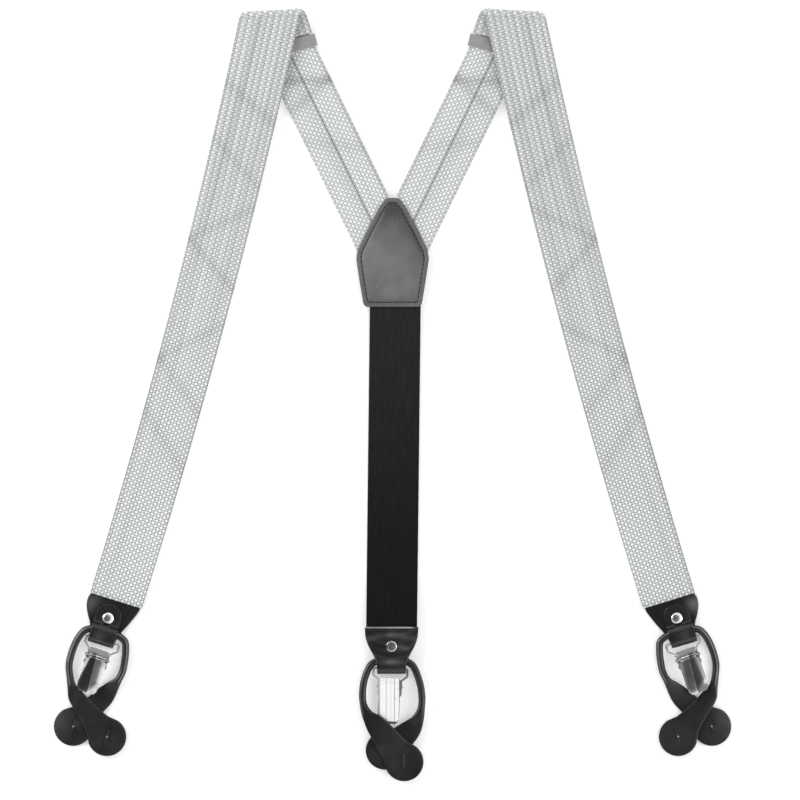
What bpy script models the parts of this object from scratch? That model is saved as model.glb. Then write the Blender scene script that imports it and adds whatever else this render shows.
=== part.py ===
"""Suspenders with leather button tabs and clips, laid flat with the front straps folded over.

Lengths are in millimetres and become metres when a mesh is made. X runs across the wearer,
Y towards the shoulders and Z up from the table. The outer side of the front straps and the
inner side of the back face up.
"""

import math

import bmesh
import bpy
from mathutils import Matrix, Vector

MM = 0.001
GAP = 0.3
UP = Vector((0, 0, 1))

# straps
RIBBON_THICK = 1.8
SLEEVE_THICK = 0.35
BACK_RIBBON_WIDTH = 36.0
BACK_RIBBON_Z = 2.4
BACK_HEADING = math.radians(26.1)
BACK_POINT = Vector((-72.5, 237.7, BACK_RIBBON_Z))
BACK_TAIL_LENGTH = 22.0
BACK_RIBBON_LENGTH = 163.6
MITRE_ANGLE = math.radians(63.5)
FRONT_WIDTH_TOP = 40.5
FRONT_WIDTH_END = 37.0
FRONT_LENGTH = 416.0
FRONT_HEADING_TOP = math.radians(12.2)
FRONT_HEADING_END = math.radians(17.2)
ELASTIC_WIDTH = 35.0
ELASTIC_TOP_Y = 84.0
ELASTIC_END_Y = -164.0

# shoulder fold
FOLD_CENTRE = Vector((-84.0, 260.7, 6.7))
FOLD_TILT = math.radians(3.0)
FOLD_RADIUS = 2.2
FOLD_REACH = 1.6
BACK_FLAP_TOP = Vector((-80.5, 260.7, 4.5))
BACK_FLAP_HEADING = math.radians(18.0)
BACK_FLAP_LENGTH = 18.5

# adjuster
ADJUSTER_WIDTH = 43.0
ADJUSTER_DEPTH = 8.5
ADJUSTER_TILT = math.radians(14.0)
ADJUSTER_CENTRE = Vector((-73.3, 238.4, 0.0))
PLATE_THICK = 0.8

# leather fitting, measured down from the end of the strap
LEATHER_THICK = 1.4
LEATHER_LOW_Z = 1.3
TURN_DOWN = 27.4
TURN_RADIUS = 3.7
TONGUE_END = 2.7
RIVET_DOWN = 12.8
CORD_DOWN = 22.5
CORD_RADIUS = 2.5
CORD_Z = LEATHER_LOW_Z + TURN_RADIUS
BAR_DOWN = 28.2
FIT_HEIGHT = 9.8
TAB_RADIUS = 13.4

# clip, measured down from the bar that hangs in the leather
CLIP_LEAN = math.radians(-2.3)
REAR_CLIP_LEAN = math.radians(3.0)
CLIP_SHIFT = 0.6
WIRE_RADIUS = 0.8
BAR_HALF = 11.6
EAR_IN = 7.6
EAR_OUT = 8.4
BASE_LOW = -1.8
BASE_TOP = -1.0
PIN_DOWN = 12.4
PIN_Z = 1.6
PIN_RADIUS = 0.8
BORE_RADIUS = 1.1
CLIP_END = 36.0

FITTINGS = {
    "left": {"side": 1, "rear": False, "place": Vector((-189.8, -141.8, 0)), "heading": math.radians(16.7)},
    "right": {"side": -1, "rear": False, "place": Vector((189.8, -141.8, 0)), "heading": math.radians(16.7)},
    "rear": {"side": 1, "rear": True, "place": Vector((-0.7, -160.0, 0)), "heading": 0.0},
}


def make_collection(name):
    collection = bpy.data.collections.new(name)
    bpy.context.scene.collection.children.link(collection)
    return collection


def make_material(name, colour, metallic, roughness):
    look = bpy.data.materials.new(name)
    look.use_nodes = True
    shader = look.node_tree.nodes["Principled BSDF"]
    shader.inputs["Base Color"].default_value = (*colour, 1)
    shader.inputs["Metallic"].default_value = metallic
    shader.inputs["Roughness"].default_value = roughness
    return look


def fabric_look():
    return make_material("silver_fabric", (0.62, 0.65, 0.63), 0.0, 0.75)


def core_look():
    return make_material("interlining", (0.8, 0.8, 0.78), 0.0, 0.9)


def leather_look():
    return make_material("black_leather", (0.02, 0.02, 0.02), 0.0, 0.45)


def patch_look():
    return make_material("patch_leather", (0.08, 0.08, 0.08), 0.0, 0.4)


def pad_look():
    return make_material("pad_foam", (0.3, 0.3, 0.3), 0.0, 0.9)


def elastic_look():
    return make_material("black_elastic", (0.015, 0.015, 0.015), 0.0, 0.8)


def nickel_look():
    return make_material("polished_nickel", (0.85, 0.85, 0.86), 1.0, 0.15)


def satin_look():
    return make_material("satin_nickel", (0.5, 0.49, 0.46), 1.0, 0.4)


def rubber_look():
    return make_material("grip_rubber", (0.03, 0.03, 0.03), 0.0, 0.7)


def to_object(name, bm, look, frame, origin=(0, 0, 0)):
    """Makes one closed object whose origin sits at a given point of a frame."""
    origin = Vector(origin)
    bmesh.ops.recalc_face_normals(bm, faces=bm.faces)
    bmesh.ops.translate(bm, vec=-origin, verts=bm.verts)
    bmesh.ops.scale(bm, vec=(MM, MM, MM), verts=bm.verts)
    mesh = bpy.data.meshes.new(name)
    bm.to_mesh(mesh)
    bm.free()
    mesh.materials.append(look)
    piece = bpy.data.objects.new(name, mesh)
    PARTS.objects.link(piece)
    piece.parent = frame
    piece.location = origin * MM
    return piece


def make_frame(name, place, turn=0.0, flipped=False):
    frame = bpy.data.objects.new(name, None)
    PARTS.objects.link(frame)
    frame.location = place * MM
    frame.rotation_euler = (0, math.pi if flipped else 0, turn)
    return frame


def use_modifier(piece, modifier):
    """Writes one modifier into the mesh of its piece."""
    bpy.context.view_layer.update()
    shape = piece.evaluated_get(bpy.context.evaluated_depsgraph_get())
    mesh = bpy.data.meshes.new_from_object(shape)
    piece.modifiers.remove(modifier)
    piece.data = mesh


def combine(piece, other, operation):
    """Joins or cuts one piece with another one, which moves to the cutters."""
    PARTS.objects.unlink(other)
    CUTTERS.objects.link(other)
    other.hide_render = True
    other.display_type = "WIRE"
    modifier = piece.modifiers.new(operation.lower(), "BOOLEAN")
    modifier.operation = operation
    modifier.solver = "EXACT"
    modifier.object = other
    use_modifier(piece, modifier)


def section(half_width, half_thick):
    """An eight-sided outline: a flat bar with cut corners, or a near-round cord."""
    cut = 0.58 * min(half_width, half_thick)
    wide = half_width - cut
    tall = half_thick - cut
    quarter = [(half_width, tall), (wide, half_thick)]
    upper = quarter + [(-x, z) for x, z in reversed(quarter)]
    return upper + [(x, -z) for x, z in reversed(upper)]


def loft(stations, capped=True):
    """Skins a run of sections. A station is (centre, across, normal, half width, half thickness)."""
    bm = bmesh.new()
    rings = []
    for centre, across, normal, half_width, half_thick in stations:
        points = [centre + across * a + normal * b for a, b in section(half_width, half_thick)]
        rings.append([bm.verts.new(point) for point in points])
    count = len(rings[0])
    for first, second in zip(rings, rings[1:]):
        for i in range(count):
            j = (i + 1) % count
            bm.faces.new((first[i], first[j], second[j], second[i]))
    if capped:
        bm.faces.new(rings[0])
        bm.faces.new(rings[-1])
    return bm


def box(low, high):
    bm = bmesh.new()
    low = Vector(low)
    high = Vector(high)
    size = high - low
    bmesh.ops.create_cube(bm, size=1)
    bmesh.ops.scale(bm, vec=size, verts=bm.verts)
    bmesh.ops.translate(bm, vec=(low + high) / 2, verts=bm.verts)
    return bm


def rod(radius, start, end, sides=16, end_radius=None):
    """A round bar, or a cone when its ends differ, between two points."""
    start = Vector(start)
    end = Vector(end)
    run = end - start
    bm = bmesh.new()
    bmesh.ops.create_cone(
        bm,
        cap_ends=True,
        segments=sides,
        radius1=radius,
        radius2=radius if end_radius is None else end_radius,
        depth=run.length,
    )
    turn = UP.rotation_difference(run.normalized()).to_matrix().to_4x4()
    bmesh.ops.transform(bm, matrix=Matrix.Translation((start + end) / 2) @ turn, verts=bm.verts)
    return bm


def plate(outline, low, high):
    """A flat plate from an outline of (x, y) points between two heights."""
    bm = bmesh.new()
    bottom = [bm.verts.new((x, y, low)) for x, y in outline]
    face = bm.faces.new(bottom)
    grown = bmesh.ops.extrude_face_region(bm, geom=[face])
    top = [item for item in grown["geom"] if isinstance(item, bmesh.types.BMVert)]
    bmesh.ops.translate(bm, vec=(0, 0, high - low), verts=top)
    return bm


def smooth(points, steps):
    """Rounds a run of equal-length tuples with a Catmull-Rom spline."""
    rounded = []
    last = len(points) - 1
    for i in range(last):
        before = points[max(i - 1, 0)]
        start = points[i]
        end = points[i + 1]
        after = points[min(i + 2, last)]
        for k in range(steps):
            t = k / steps
            values = []
            for a, b, c, d in zip(before, start, end, after):
                curve = (2 * a - 5 * b + 4 * c - d) * t + (3 * b - a - 3 * c + d) * t * t
                values.append(b + ((c - a) + curve) * t / 2)
            rounded.append(tuple(values))
    rounded.append(tuple(points[-1]))
    return rounded


def between(value, table):
    """Reads a value from a short table of (position, value) pairs with eased steps."""
    for (low, first), (high, second) in zip(table, table[1:]):
        if value <= high:
            t = max(0.0, (value - low) / (high - low))
            t = t * t * (3 - 2 * t)
            return first + (second - first) * t
    return table[-1][1]


def sleeve_and_core(name, stations, looks):
    """A ribbon is a thin fabric sleeve with a loose stiffener inside."""
    outer = to_object(name + "_sleeve", loft(stations, capped=False), looks["fabric"], None)
    shell = outer.modifiers.new("thickness", "SOLIDIFY")
    shell.thickness = SLEEVE_THICK * MM
    shell.offset = -1
    shell.use_even_offset = True
    inset = SLEEVE_THICK + GAP
    inner = [(c, a, n, w - inset - GAP, t - inset) for c, a, n, w, t in stations]
    to_object(name + "_core", loft(inner), looks["core"], None)


def heading_vector(angle, side):
    """The direction of a strap that runs down the table, leaning outwards by an angle."""
    return Vector((-side * math.sin(angle), -math.cos(angle), 0))


def mirrored(point, side):
    return Vector((point.x * side, point.y, point.z))


def back_ribbon(prefix, side, looks):
    """The straight ribbon from the yoke patch to its free end above the adjuster."""
    down = heading_vector(-BACK_HEADING, side)
    start = mirrored(BACK_POINT, side) - down * BACK_TAIL_LENGTH
    across = UP.cross(down)
    stations = []
    steps = 8
    for i in range(steps + 1):
        centre = start + down * BACK_RIBBON_LENGTH * i / steps
        stations.append((centre, across, UP, BACK_RIBBON_WIDTH / 2, RIBBON_THICK / 2))
    # the lower end is cut slantwise, so that the two ribbons meet inside the patch
    centre = stations[-1][0]
    slant = Vector((math.cos(MITRE_ANGLE), side * math.sin(MITRE_ANGLE), 0))
    half_width = BACK_RIBBON_WIDTH / 2 / slant.dot(across)
    stations[-1] = (centre, slant, UP, half_width, RIBBON_THICK / 2)
    sleeve_and_core(prefix + "_back_ribbon", stations, looks)


def front_path(side, steps):
    """Points down the middle of the front strap with the distance each lies from the fold."""
    point = mirrored(FOLD_CENTRE, side)
    step = FRONT_LENGTH / steps
    points = [(0.0, point.copy(), FRONT_HEADING_TOP)]
    for i in range(steps):
        t = (i + 0.5) / steps
        angle = FRONT_HEADING_TOP + (FRONT_HEADING_END - FRONT_HEADING_TOP) * t
        point = point + heading_vector(angle, side) * step
        points.append(((i + 1) * step, point.copy(), angle))
    return points


FRONT_HEIGHTS = [(0, 8.9), (26, 7.6), (78, 5.0), (128, 1.1)]
FRONT_HEIGHTS += [(FRONT_LENGTH - 60, 1.1), (FRONT_LENGTH - 20, 3.2)]


def front_stations(side):
    """The front strap starts square to the fold line and turns square to its own path."""
    fold_line = Vector((math.cos(FOLD_TILT), side * math.sin(FOLD_TILT), 0))
    stations = []
    points = front_path(side, 22)
    for distance, point, angle in points:
        distance = max(distance, FOLD_REACH)
        square = UP.cross(heading_vector(angle, side))
        blend = min(1.0, distance / 45)
        across = (fold_line * (1 - blend) + square * blend).normalized()
        width = FRONT_WIDTH_TOP + (FRONT_WIDTH_END - FRONT_WIDTH_TOP) * distance / FRONT_LENGTH
        stretch = 1 / across.dot(square)
        start = point + heading_vector(angle, side) * (FOLD_REACH if point == points[0][1] else 0)
        centre = Vector((start.x, start.y, between(distance, FRONT_HEIGHTS)))
        stations.append((centre, across, UP, width / 2 * stretch, RIBBON_THICK / 2))
    return stations


def shoulder_fold(prefix, side, looks):
    """The turn of fabric that rolls the strap over at the shoulder."""
    fold_line = Vector((math.cos(FOLD_TILT), side * math.sin(FOLD_TILT), 0))
    outward = UP.cross(fold_line)
    front = mirrored(FOLD_CENTRE, side)
    flap = mirrored(BACK_FLAP_TOP, side)
    half_width = FRONT_WIDTH_TOP / 2 / math.cos(FRONT_HEADING_TOP + FOLD_TILT)
    reach = FOLD_REACH - GAP
    stations = []
    turns = 8
    for i in range(-1, turns + 2):
        t = min(max(i / turns, 0), 1)
        angle = math.pi * t
        base = flap.lerp(front, t)
        base.z = FOLD_CENTRE.z - FOLD_RADIUS * math.cos(angle)
        push = FOLD_RADIUS * math.sin(angle)
        if i < 0 or i > turns:
            push = -reach
        normal = -UP * math.cos(angle) * -1 + outward * -math.sin(angle)
        stations.append((base + outward * push, fold_line, normal, half_width, RIBBON_THICK / 2))
    to_object(prefix + "_shoulder_fold", loft(stations), looks["fabric"], None)


def back_flap(prefix, side, looks):
    """The end of the front strap, sewn to the adjuster behind the shoulder."""
    fold_line = Vector((math.cos(FOLD_TILT), side * math.sin(FOLD_TILT), 0))
    down = heading_vector(-BACK_FLAP_HEADING, side)
    square = UP.cross(down)
    top = mirrored(BACK_FLAP_TOP, side)
    half_top = FRONT_WIDTH_TOP / 2 / fold_line.dot(square)
    first = (top + down * FOLD_REACH, fold_line, UP, half_top, RIBBON_THICK / 2)
    slide_line = Vector((math.cos(ADJUSTER_TILT), side * math.sin(ADJUSTER_TILT), 0))
    half_end = FRONT_WIDTH_TOP / 2 / slide_line.dot(square)
    last = (top + down * BACK_FLAP_LENGTH, slide_line, UP, half_end, RIBBON_THICK / 2)
    to_object(prefix + "_adjuster_flap", loft([first, last]), looks["fabric"], None)


def adjuster(prefix, side, looks):
    """A metal slide around the back ribbon with a locking lever on its outer face."""
    frame = make_frame(prefix + "_adjuster", mirrored(ADJUSTER_CENTRE, side), side * ADJUSTER_TILT)
    half = ADJUSTER_WIDTH / 2
    deep = ADJUSTER_DEPTH / 2
    ribbon_top = BACK_RIBBON_Z + RIBBON_THICK / 2
    ribbon_low = BACK_RIBBON_Z - RIBBON_THICK / 2
    top = ribbon_top + GAP
    body = to_object(
        prefix + "_adjuster_frame",
        box((-half, -deep, top), (half, deep, top + PLATE_THICK)),
        looks["satin"],
        frame,
    )
    for edge in (-1, 1):
        inner = edge * (half - PLATE_THICK)
        xs = sorted((inner, edge * half))
        cheek = box((xs[0], -deep, 0.15), (xs[1], deep, top + PLATE_THICK / 2))
        combine(body, to_object("cheek_join", cheek, looks["satin"], frame), "UNION")
    lever_top = ribbon_low - GAP
    pin_z = lever_top / 2 + 0.05
    pin_y = deep - 1.6
    pin_radius = 0.35
    bore = rod(pin_radius + 0.1, (-half - 1, pin_y, pin_z), (half + 1, pin_y, pin_z), 12)
    combine(body, to_object("frame_bore", bore, looks["satin"], frame), "DIFFERENCE")
    rounding = body.modifiers.new("rounding", "BEVEL")
    rounding.width = 0.12 * MM
    rounding.segments = 1
    pin = rod(pin_radius, (-half, pin_y, pin_z), (half, pin_y, pin_z), 12)
    to_object(prefix + "_adjuster_pin", pin, looks["satin"], frame, (0, pin_y, pin_z))
    reach = half - PLATE_THICK - GAP
    lever = to_object(
        prefix + "_adjuster_lever",
        box((-reach, -deep, 0.1), (reach, pin_y + 0.55, lever_top)),
        looks["satin"],
        frame,
        (0, pin_y, pin_z),
    )
    hole = rod(pin_radius + 0.1, (-half, pin_y, pin_z), (half, pin_y, pin_z), 12)
    combine(lever, to_object("lever_bore", hole, looks["satin"], frame, (0, pin_y, pin_z)), "DIFFERENCE")


def patch_outline():
    """The yoke patch: a narrow neck, sloping shoulders and a tapered foot, rounded at the corners."""
    right = [(3.8, 134.8), (8.6, 129.3), (16.4, 114.5), (24.2, 98.4)]
    right += [(25.0, 93.0), (22.6, 77.0), (20.1, 62.0), (18.2, 60.0)]
    left = [(-x, y) for x, y in reversed(right)]
    return right + left


def patch_layer(name, look, low, rings):
    """A patch-shaped solid with a flat underside. Each ring is (inset scale, height)."""
    middle = Vector((0, 93))
    bm = bmesh.new()
    levels = [(rings[0][0], low)] + rings
    loops = []
    for scale, height in levels:
        loop = []
        for x, y in patch_outline():
            loop.append(bm.verts.new((x * scale, middle.y + (y - middle.y) * scale, height)))
        loops.append(loop)
    count = len(loops[0])
    for first, second in zip(loops, loops[1:]):
        for i in range(count):
            j = (i + 1) % count
            bm.faces.new((first[i], first[j], second[j], second[i]))
    bm.faces.new(loops[0])
    bm.faces.new(loops[-1])
    return to_object(name, bm, look, None)


def yoke_patch(looks):
    """Two leather faces sewn around the ribbons and the elastic, with a foam pad on the inner one."""
    outer_top = BACK_RIBBON_Z - RIBBON_THICK / 2 - GAP
    patch_layer("y_patch_outer", looks["patch"], 0.0, [(1.0, outer_top - 0.3), (0.985, outer_top)])
    base = BACK_RIBBON_Z + RIBBON_THICK / 2 + GAP
    dome = [(0.88, base), (0.86, base + 0.9), (0.7, base + 1.7), (0.45, base + 2.1)]
    pad = [(0.84, base + 0.5), (0.68, base + 1.3), (0.43, base + 1.7)]
    patch_layer("y_patch_pad", looks["pad"], base, [(s, z) for s, z in pad])
    cover = patch_layer(
        "y_patch_inner",
        looks["patch"],
        base,
        [(1.0, base + 0.9), (0.985, base + 1.1)] + [(s, z + 1.2) for s, z in dome[1:]],
    )
    hollow_rings = [(s + 0.012, z + GAP) for s, z in pad]
    hollow = patch_layer("pad_hollow", looks["pad"], base - 1.0, hollow_rings)
    combine(cover, hollow, "DIFFERENCE")


def elastic_strap(looks):
    """The wide black elastic from the patch down to the rear fitting, rising at its lower end."""
    stations = []
    steps = 14
    heights = [(0, BACK_RIBBON_Z), (30, BACK_RIBBON_Z), (60, 1.2), (205, 1.2), (240, FIT_HEIGHT - 3.2)]
    length = ELASTIC_TOP_Y - ELASTIC_END_Y
    for i in range(steps + 1):
        run = length * i / steps
        x = 2.1 - 2.8 * run / length
        centre = Vector((x, ELASTIC_TOP_Y - run, between(run, heights)))
        stations.append((centre, Vector((1, 0, 0)), UP, ELASTIC_WIDTH / 2, RIBBON_THICK / 2))
    to_object("elastic_strap", loft(stations), looks["elastic"], None)


# the flared face of a leather tab: (down, half width, shift to the side), from its top to the fold
FRONT_FLARE = [
    (-12.0, 17.4, 0.0),
    (-0.8, 17.8, -0.3),
    (2.5, 18.1, -0.9),
    (7.5, 17.1, -1.7),
    (13.7, 14.5, -1.7),
    (19.0, 11.6, -1.4),
    (23.5, 10.1, -1.5),
    (TURN_DOWN, 9.3, -1.6),
]
REAR_FLARE = [
    (-0.5, 18.4, 0.0),
    (6.8, 17.9, 0.0),
    (13.0, 15.7, 0.0),
    (18.8, 12.6, 0.0),
    (23.4, 10.7, 0.0),
    (TURN_DOWN, 9.9, 0.0),
]
FRONT_TONGUE_SHIFT = -1.8
FRONT_RIVET_SHIFT = -1.7


def tab_path(rear):
    """Rows of the leather strip as (down, height, half width, shift): flare, fold and tongue."""
    tongue_end = 7.6 if rear else TONGUE_END
    tongue_z = LEATHER_LOW_Z + LEATHER_THICK + GAP
    high_z = LEATHER_LOW_Z + 2 * TURN_RADIUS
    shift = 0.0 if rear else FRONT_TONGUE_SHIFT
    half_turn = 9.9 if rear else 9.2
    half_tongue = 9.0
    path = [(down, LEATHER_LOW_Z, half, x) for down, half, x in (REAR_FLARE if rear else FRONT_FLARE)]
    for k in range(1, 7):
        angle = math.pi * k / 6
        turn_down = TURN_DOWN + TURN_RADIUS * math.sin(angle)
        turn_z = CORD_Z - TURN_RADIUS * math.cos(angle)
        path.append((turn_down, turn_z, half_turn, shift))
    path.append((CORD_DOWN, high_z, half_tongue, shift))
    for degrees in (130, 165):
        angle = math.radians(degrees)
        hug = TURN_RADIUS + 0.1
        turn_down = CORD_DOWN + hug * math.cos(angle)
        path.append((turn_down, CORD_Z + hug * math.sin(angle), half_tongue, shift))
    path += [(18.3, tongue_z + 1.1, half_tongue, shift), (17.1, tongue_z, half_tongue, shift)]
    for run in (9.0, 6.0, 3.5, 1.7, 0.6, 0.15):
        half = math.sqrt(half_tongue**2 - (half_tongue - run) ** 2)
        path.append((tongue_end + run, tongue_z, half, shift))
    return path


def leather_tab(prefix, frame, side, rear, looks):
    """One strip of leather: a flared face on the strap, a fold around the hardware and a riveted tongue."""
    path = tab_path(rear)
    stations = []
    for i, (down, z, half, shift) in enumerate(path):
        before = path[max(i - 1, 0)]
        after = path[min(i + 1, len(path) - 1)]
        along = Vector((0, -(after[0] - before[0]), after[1] - before[1])).normalized()
        across = Vector((1, 0, 0))
        centre = Vector((shift * side, -down, z))
        stations.append((centre, across, across.cross(along), half, LEATHER_THICK / 2))
    leather = to_object(prefix + "_leather_tab", loft(stations), looks["leather"], frame)
    x = rivet_shift(side, rear)
    hole = rod(2.4, (x, -RIVET_DOWN, -2), (x, -RIVET_DOWN, LEATHER_LOW_Z + LEATHER_THICK + GAP + 2))
    combine(leather, to_object("rivet_hole", hole, looks["leather"], frame), "DIFFERENCE")


def rivet_shift(side, rear):
    return 0.0 if rear else FRONT_RIVET_SHIFT * side


def turned(profile, x, down, closed, sides=24):
    """Spins a profile of (radius, height) points around an upright axis."""
    bm = bmesh.new()
    rings = []
    for radius, z in profile:
        ring = []
        for i in range(sides):
            angle = 2 * math.pi * i / sides
            ring.append(bm.verts.new((x + radius * math.cos(angle), radius * math.sin(angle) - down, z)))
        rings.append(ring)
    pairs = list(zip(rings, rings[1:]))
    if closed:
        pairs.append((rings[-1], rings[0]))
    else:
        bm.faces.new(rings[0])
        bm.faces.new(rings[-1])
    for first, second in pairs:
        for i in range(sides):
            j = (i + 1) % sides
            bm.faces.new((first[i], first[j], second[j], second[i]))
    return bm


def rivet(prefix, frame, side, rear, looks):
    """A tubular rivet under the leather and its domed cap on the tongue."""
    tongue_top = LEATHER_LOW_Z + LEATHER_THICK * 1.5 + GAP
    seat = tongue_top + 0.25
    x = rivet_shift(side, rear)
    cap = [(1.3, 1.0), (1.3, seat), (3.7, seat), (4.0, seat + 0.25)]
    cap += [(3.8, seat + 0.7), (3.1, seat + 1.1), (1.9, seat + 1.4), (0.7, seat + 1.5)]
    to_object(prefix + "_rivet_cap", turned(cap, x, RIVET_DOWN, False), looks["nickel"], frame)
    tube = [(1.75, 0.05), (3.0, 0.05), (3.6, 0.2), (3.6, 0.4), (2.1, 0.4)]
    tube += [(2.1, seat - 0.3), (1.75, seat - 0.3)]
    to_object(prefix + "_rivet_tube", turned(tube, x, RIVET_DOWN, True), looks["nickel"], frame)


# one strand of a loop: (across, down, height, half width, half thickness), from the fold outwards
FRONT_UPPER = [
    (-9.0, 22.4, 5.0, 2.5, 2.5),
    (-14.4, 25.0, 4.7, 2.5, 2.5),
    (-17.6, 32.0, 3.6, 2.5, 2.5),
    (-18.8, 41.0, 2.75, 2.5, 2.5),
    (-18.3, 50.5, 2.75, 2.5, 2.5),
    (-15.2, 58.8, 2.75, 2.5, 2.45),
    (-12.0, 65.0, 2.9, 3.2, 1.8),
    (-7.9, 70.0, 3.2, 5.4, 1.1),
    (-1.8, 74.8, 3.3, 6.3, 0.9),
    (5.6, 80.0, 3.3, 7.4, 0.9),
    (12.2, 84.6, 3.3, 9.2, 0.9),
]
FRONT_LOWER = [
    (9.0, 22.4, 5.0, 2.5, 2.5),
    (14.0, 25.0, 4.7, 2.5, 2.5),
    (16.4, 31.5, 3.8, 2.5, 2.5),
    (17.6, 38.0, 3.1, 2.5, 2.5),
    (18.2, 45.0, 2.75, 2.5, 2.5),
    (17.0, 51.5, 2.6, 2.7, 2.4),
    (14.2, 58.0, 1.9, 5.0, 1.4),
    (11.0, 65.0, 1.1, 6.9, 0.9),
    (6.5, 73.0, 1.1, 7.4, 0.9),
    (2.0, 80.5, 1.1, 8.6, 0.9),
]
REAR_UPPER = [
    (-9.0, 22.4, 4.8, 2.5, 2.5),
    (-14.6, 26.0, 4.8, 2.5, 2.5),
    (-18.6, 35.5, 4.8, 2.5, 2.5),
    (-19.9, 45.0, 4.9, 2.5, 2.5),
    (-19.2, 53.0, 5.3, 2.6, 2.4),
    (-16.6, 59.5, 6.8, 4.0, 1.6),
    (-12.4, 64.8, 7.8, 6.4, 0.9),
    (-7.6, 70.8, 7.8, 7.9, 0.9),
    (-1.7, 78.4, 7.2, 9.0, 0.9),
    (3.0, 84.6, 6.3, 10.2, 0.9),
]
REAR_LOWER = [
    (9.0, 22.4, 4.8, 2.5, 2.5),
    (14.8, 26.4, 4.8, 2.5, 2.5),
    (19.0, 36.5, 4.8, 2.5, 2.5),
    (20.8, 46.5, 4.9, 2.5, 2.5),
    (20.4, 55.0, 4.9, 2.6, 2.4),
    (18.2, 62.3, 4.6, 4.2, 1.7),
    (14.2, 68.6, 4.0, 6.8, 1.0),
    (8.6, 74.2, 3.8, 8.4, 0.9),
    (3.6, 78.0, 3.8, 9.4, 0.9),
]
LOOPS = {
    "front": [(FRONT_UPPER, (20.8, 90.8, 3.3)), (FRONT_LOWER, (-3.3, 90.7, 1.1))],
    "rear": [(REAR_UPPER, (8.6, 92.0, 6.0)), (REAR_LOWER, (-4.4, 84.1, 3.8))],
}
SLIT_WIDTH = 0.4
SLIT_LENGTH = 11.0


def half_loop(strand):
    """Stations of one strand, from the fold to the end of its round tab."""
    rows, (x, down, z) = strand
    points = smooth(rows, 3)
    centre = Vector((x, down))
    run = (centre - Vector(rows[-1][:2])).normalized()
    for offset in (-4.0, 0.0, 4.0, 7.5, 10.5, 12.3, 13.1):
        place = centre + run * offset
        half = math.sqrt(TAB_RADIUS**2 - offset**2)
        points.append((place.x, place.y, z, half, 0.9))
    return points


def loop_rows(kind):
    """Every station of a loop from its upper tab, up through the fold and down to its lower tab."""
    upper, lower = LOOPS[kind]
    centre = (0.0, CORD_DOWN, upper[0][0][2], CORD_RADIUS, CORD_RADIUS)
    return half_loop(upper)[::-1] + [centre] + half_loop(lower)


def button_loop(prefix, frame, side, rear, looks):
    """A rolled leather loop that hangs in the fold, crosses over and ends in two button tabs."""
    kind = "rear" if rear else "front"
    rows = loop_rows(kind)
    flip = -1 if rear else side
    places = []
    for x, down, z, _, _ in rows:
        places.append(Vector((x * flip, -down, FIT_HEIGHT - z if rear else z)))
    stations = []
    for i, place in enumerate(places):
        along = places[min(i + 1, len(places) - 1)] - places[max(i - 1, 0)]
        across = UP.cross(Vector((along.x, along.y, 0))).normalized()
        stations.append((place, across, UP, rows[i][3], rows[i][4]))
    hinge = (0, -CORD_DOWN, CORD_Z)
    loop = to_object(prefix + "_button_loop", loft(stations), looks["leather"], frame, hinge)
    for _, (x, down, z) in LOOPS[kind]:
        z = FIT_HEIGHT - z if rear else z
        low = Vector((x * flip - SLIT_WIDTH / 2, -down - SLIT_LENGTH / 2, z - 1.05))
        high = Vector((x * flip + SLIT_WIDTH / 2, -down + SLIT_LENGTH / 2, z + 1.05))
        slit = to_object("buttonhole_slit", box(low, high), looks["leather"], frame, hinge)
        combine(loop, slit, "DIFFERENCE")


def wire_loop(frame, looks):
    """The trapezoid of wire that hangs in the leather fold."""
    curve = bpy.data.curves.new("wire_loop", "CURVE")
    curve.dimensions = "3D"
    curve.bevel_depth = WIRE_RADIUS * MM
    curve.bevel_resolution = 1
    spline = curve.splines.new("POLY")
    low = (BASE_LOW + BASE_TOP) / 2
    right = [(BAR_HALF - 0.7, 0, 0), (BAR_HALF, -0.7, 0), (BAR_HALF, -4.8, -0.3)]
    right += [(6.3, -9.2, low), (4.0, -9.6, low)]
    points = right + [(-x, y, z) for x, y, z in reversed(right)]
    spline.points.add(len(points) - 1)
    for target, point in zip(spline.points, points):
        target.co = (*(Vector(point) * MM), 1)
    spline.use_cyclic_u = True
    holder = bpy.data.objects.new("wire_loop", curve)
    PARTS.objects.link(holder)
    bpy.context.view_layer.update()
    mesh = bpy.data.meshes.new_from_object(holder)
    bpy.data.objects.remove(holder)
    bm = bmesh.new()
    bm.from_mesh(mesh)
    bmesh.ops.remove_doubles(bm, verts=bm.verts, dist=0.00001)
    bmesh.ops.scale(bm, vec=(1 / MM, 1 / MM, 1 / MM), verts=bm.verts)
    return to_object("clip_wire", bm, looks["nickel"], frame)


def skin(rings):
    """Joins rings of points into a closed solid."""
    bm = bmesh.new()
    loops = [[bm.verts.new(point) for point in ring] for ring in rings]
    count = len(loops[0])
    for first, second in zip(loops, loops[1:]):
        for i in range(count):
            j = (i + 1) % count
            bm.faces.new((first[i], first[j], second[j], second[i]))
    bm.faces.new(loops[0])
    bm.faces.new(loops[-1])
    return bm


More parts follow.
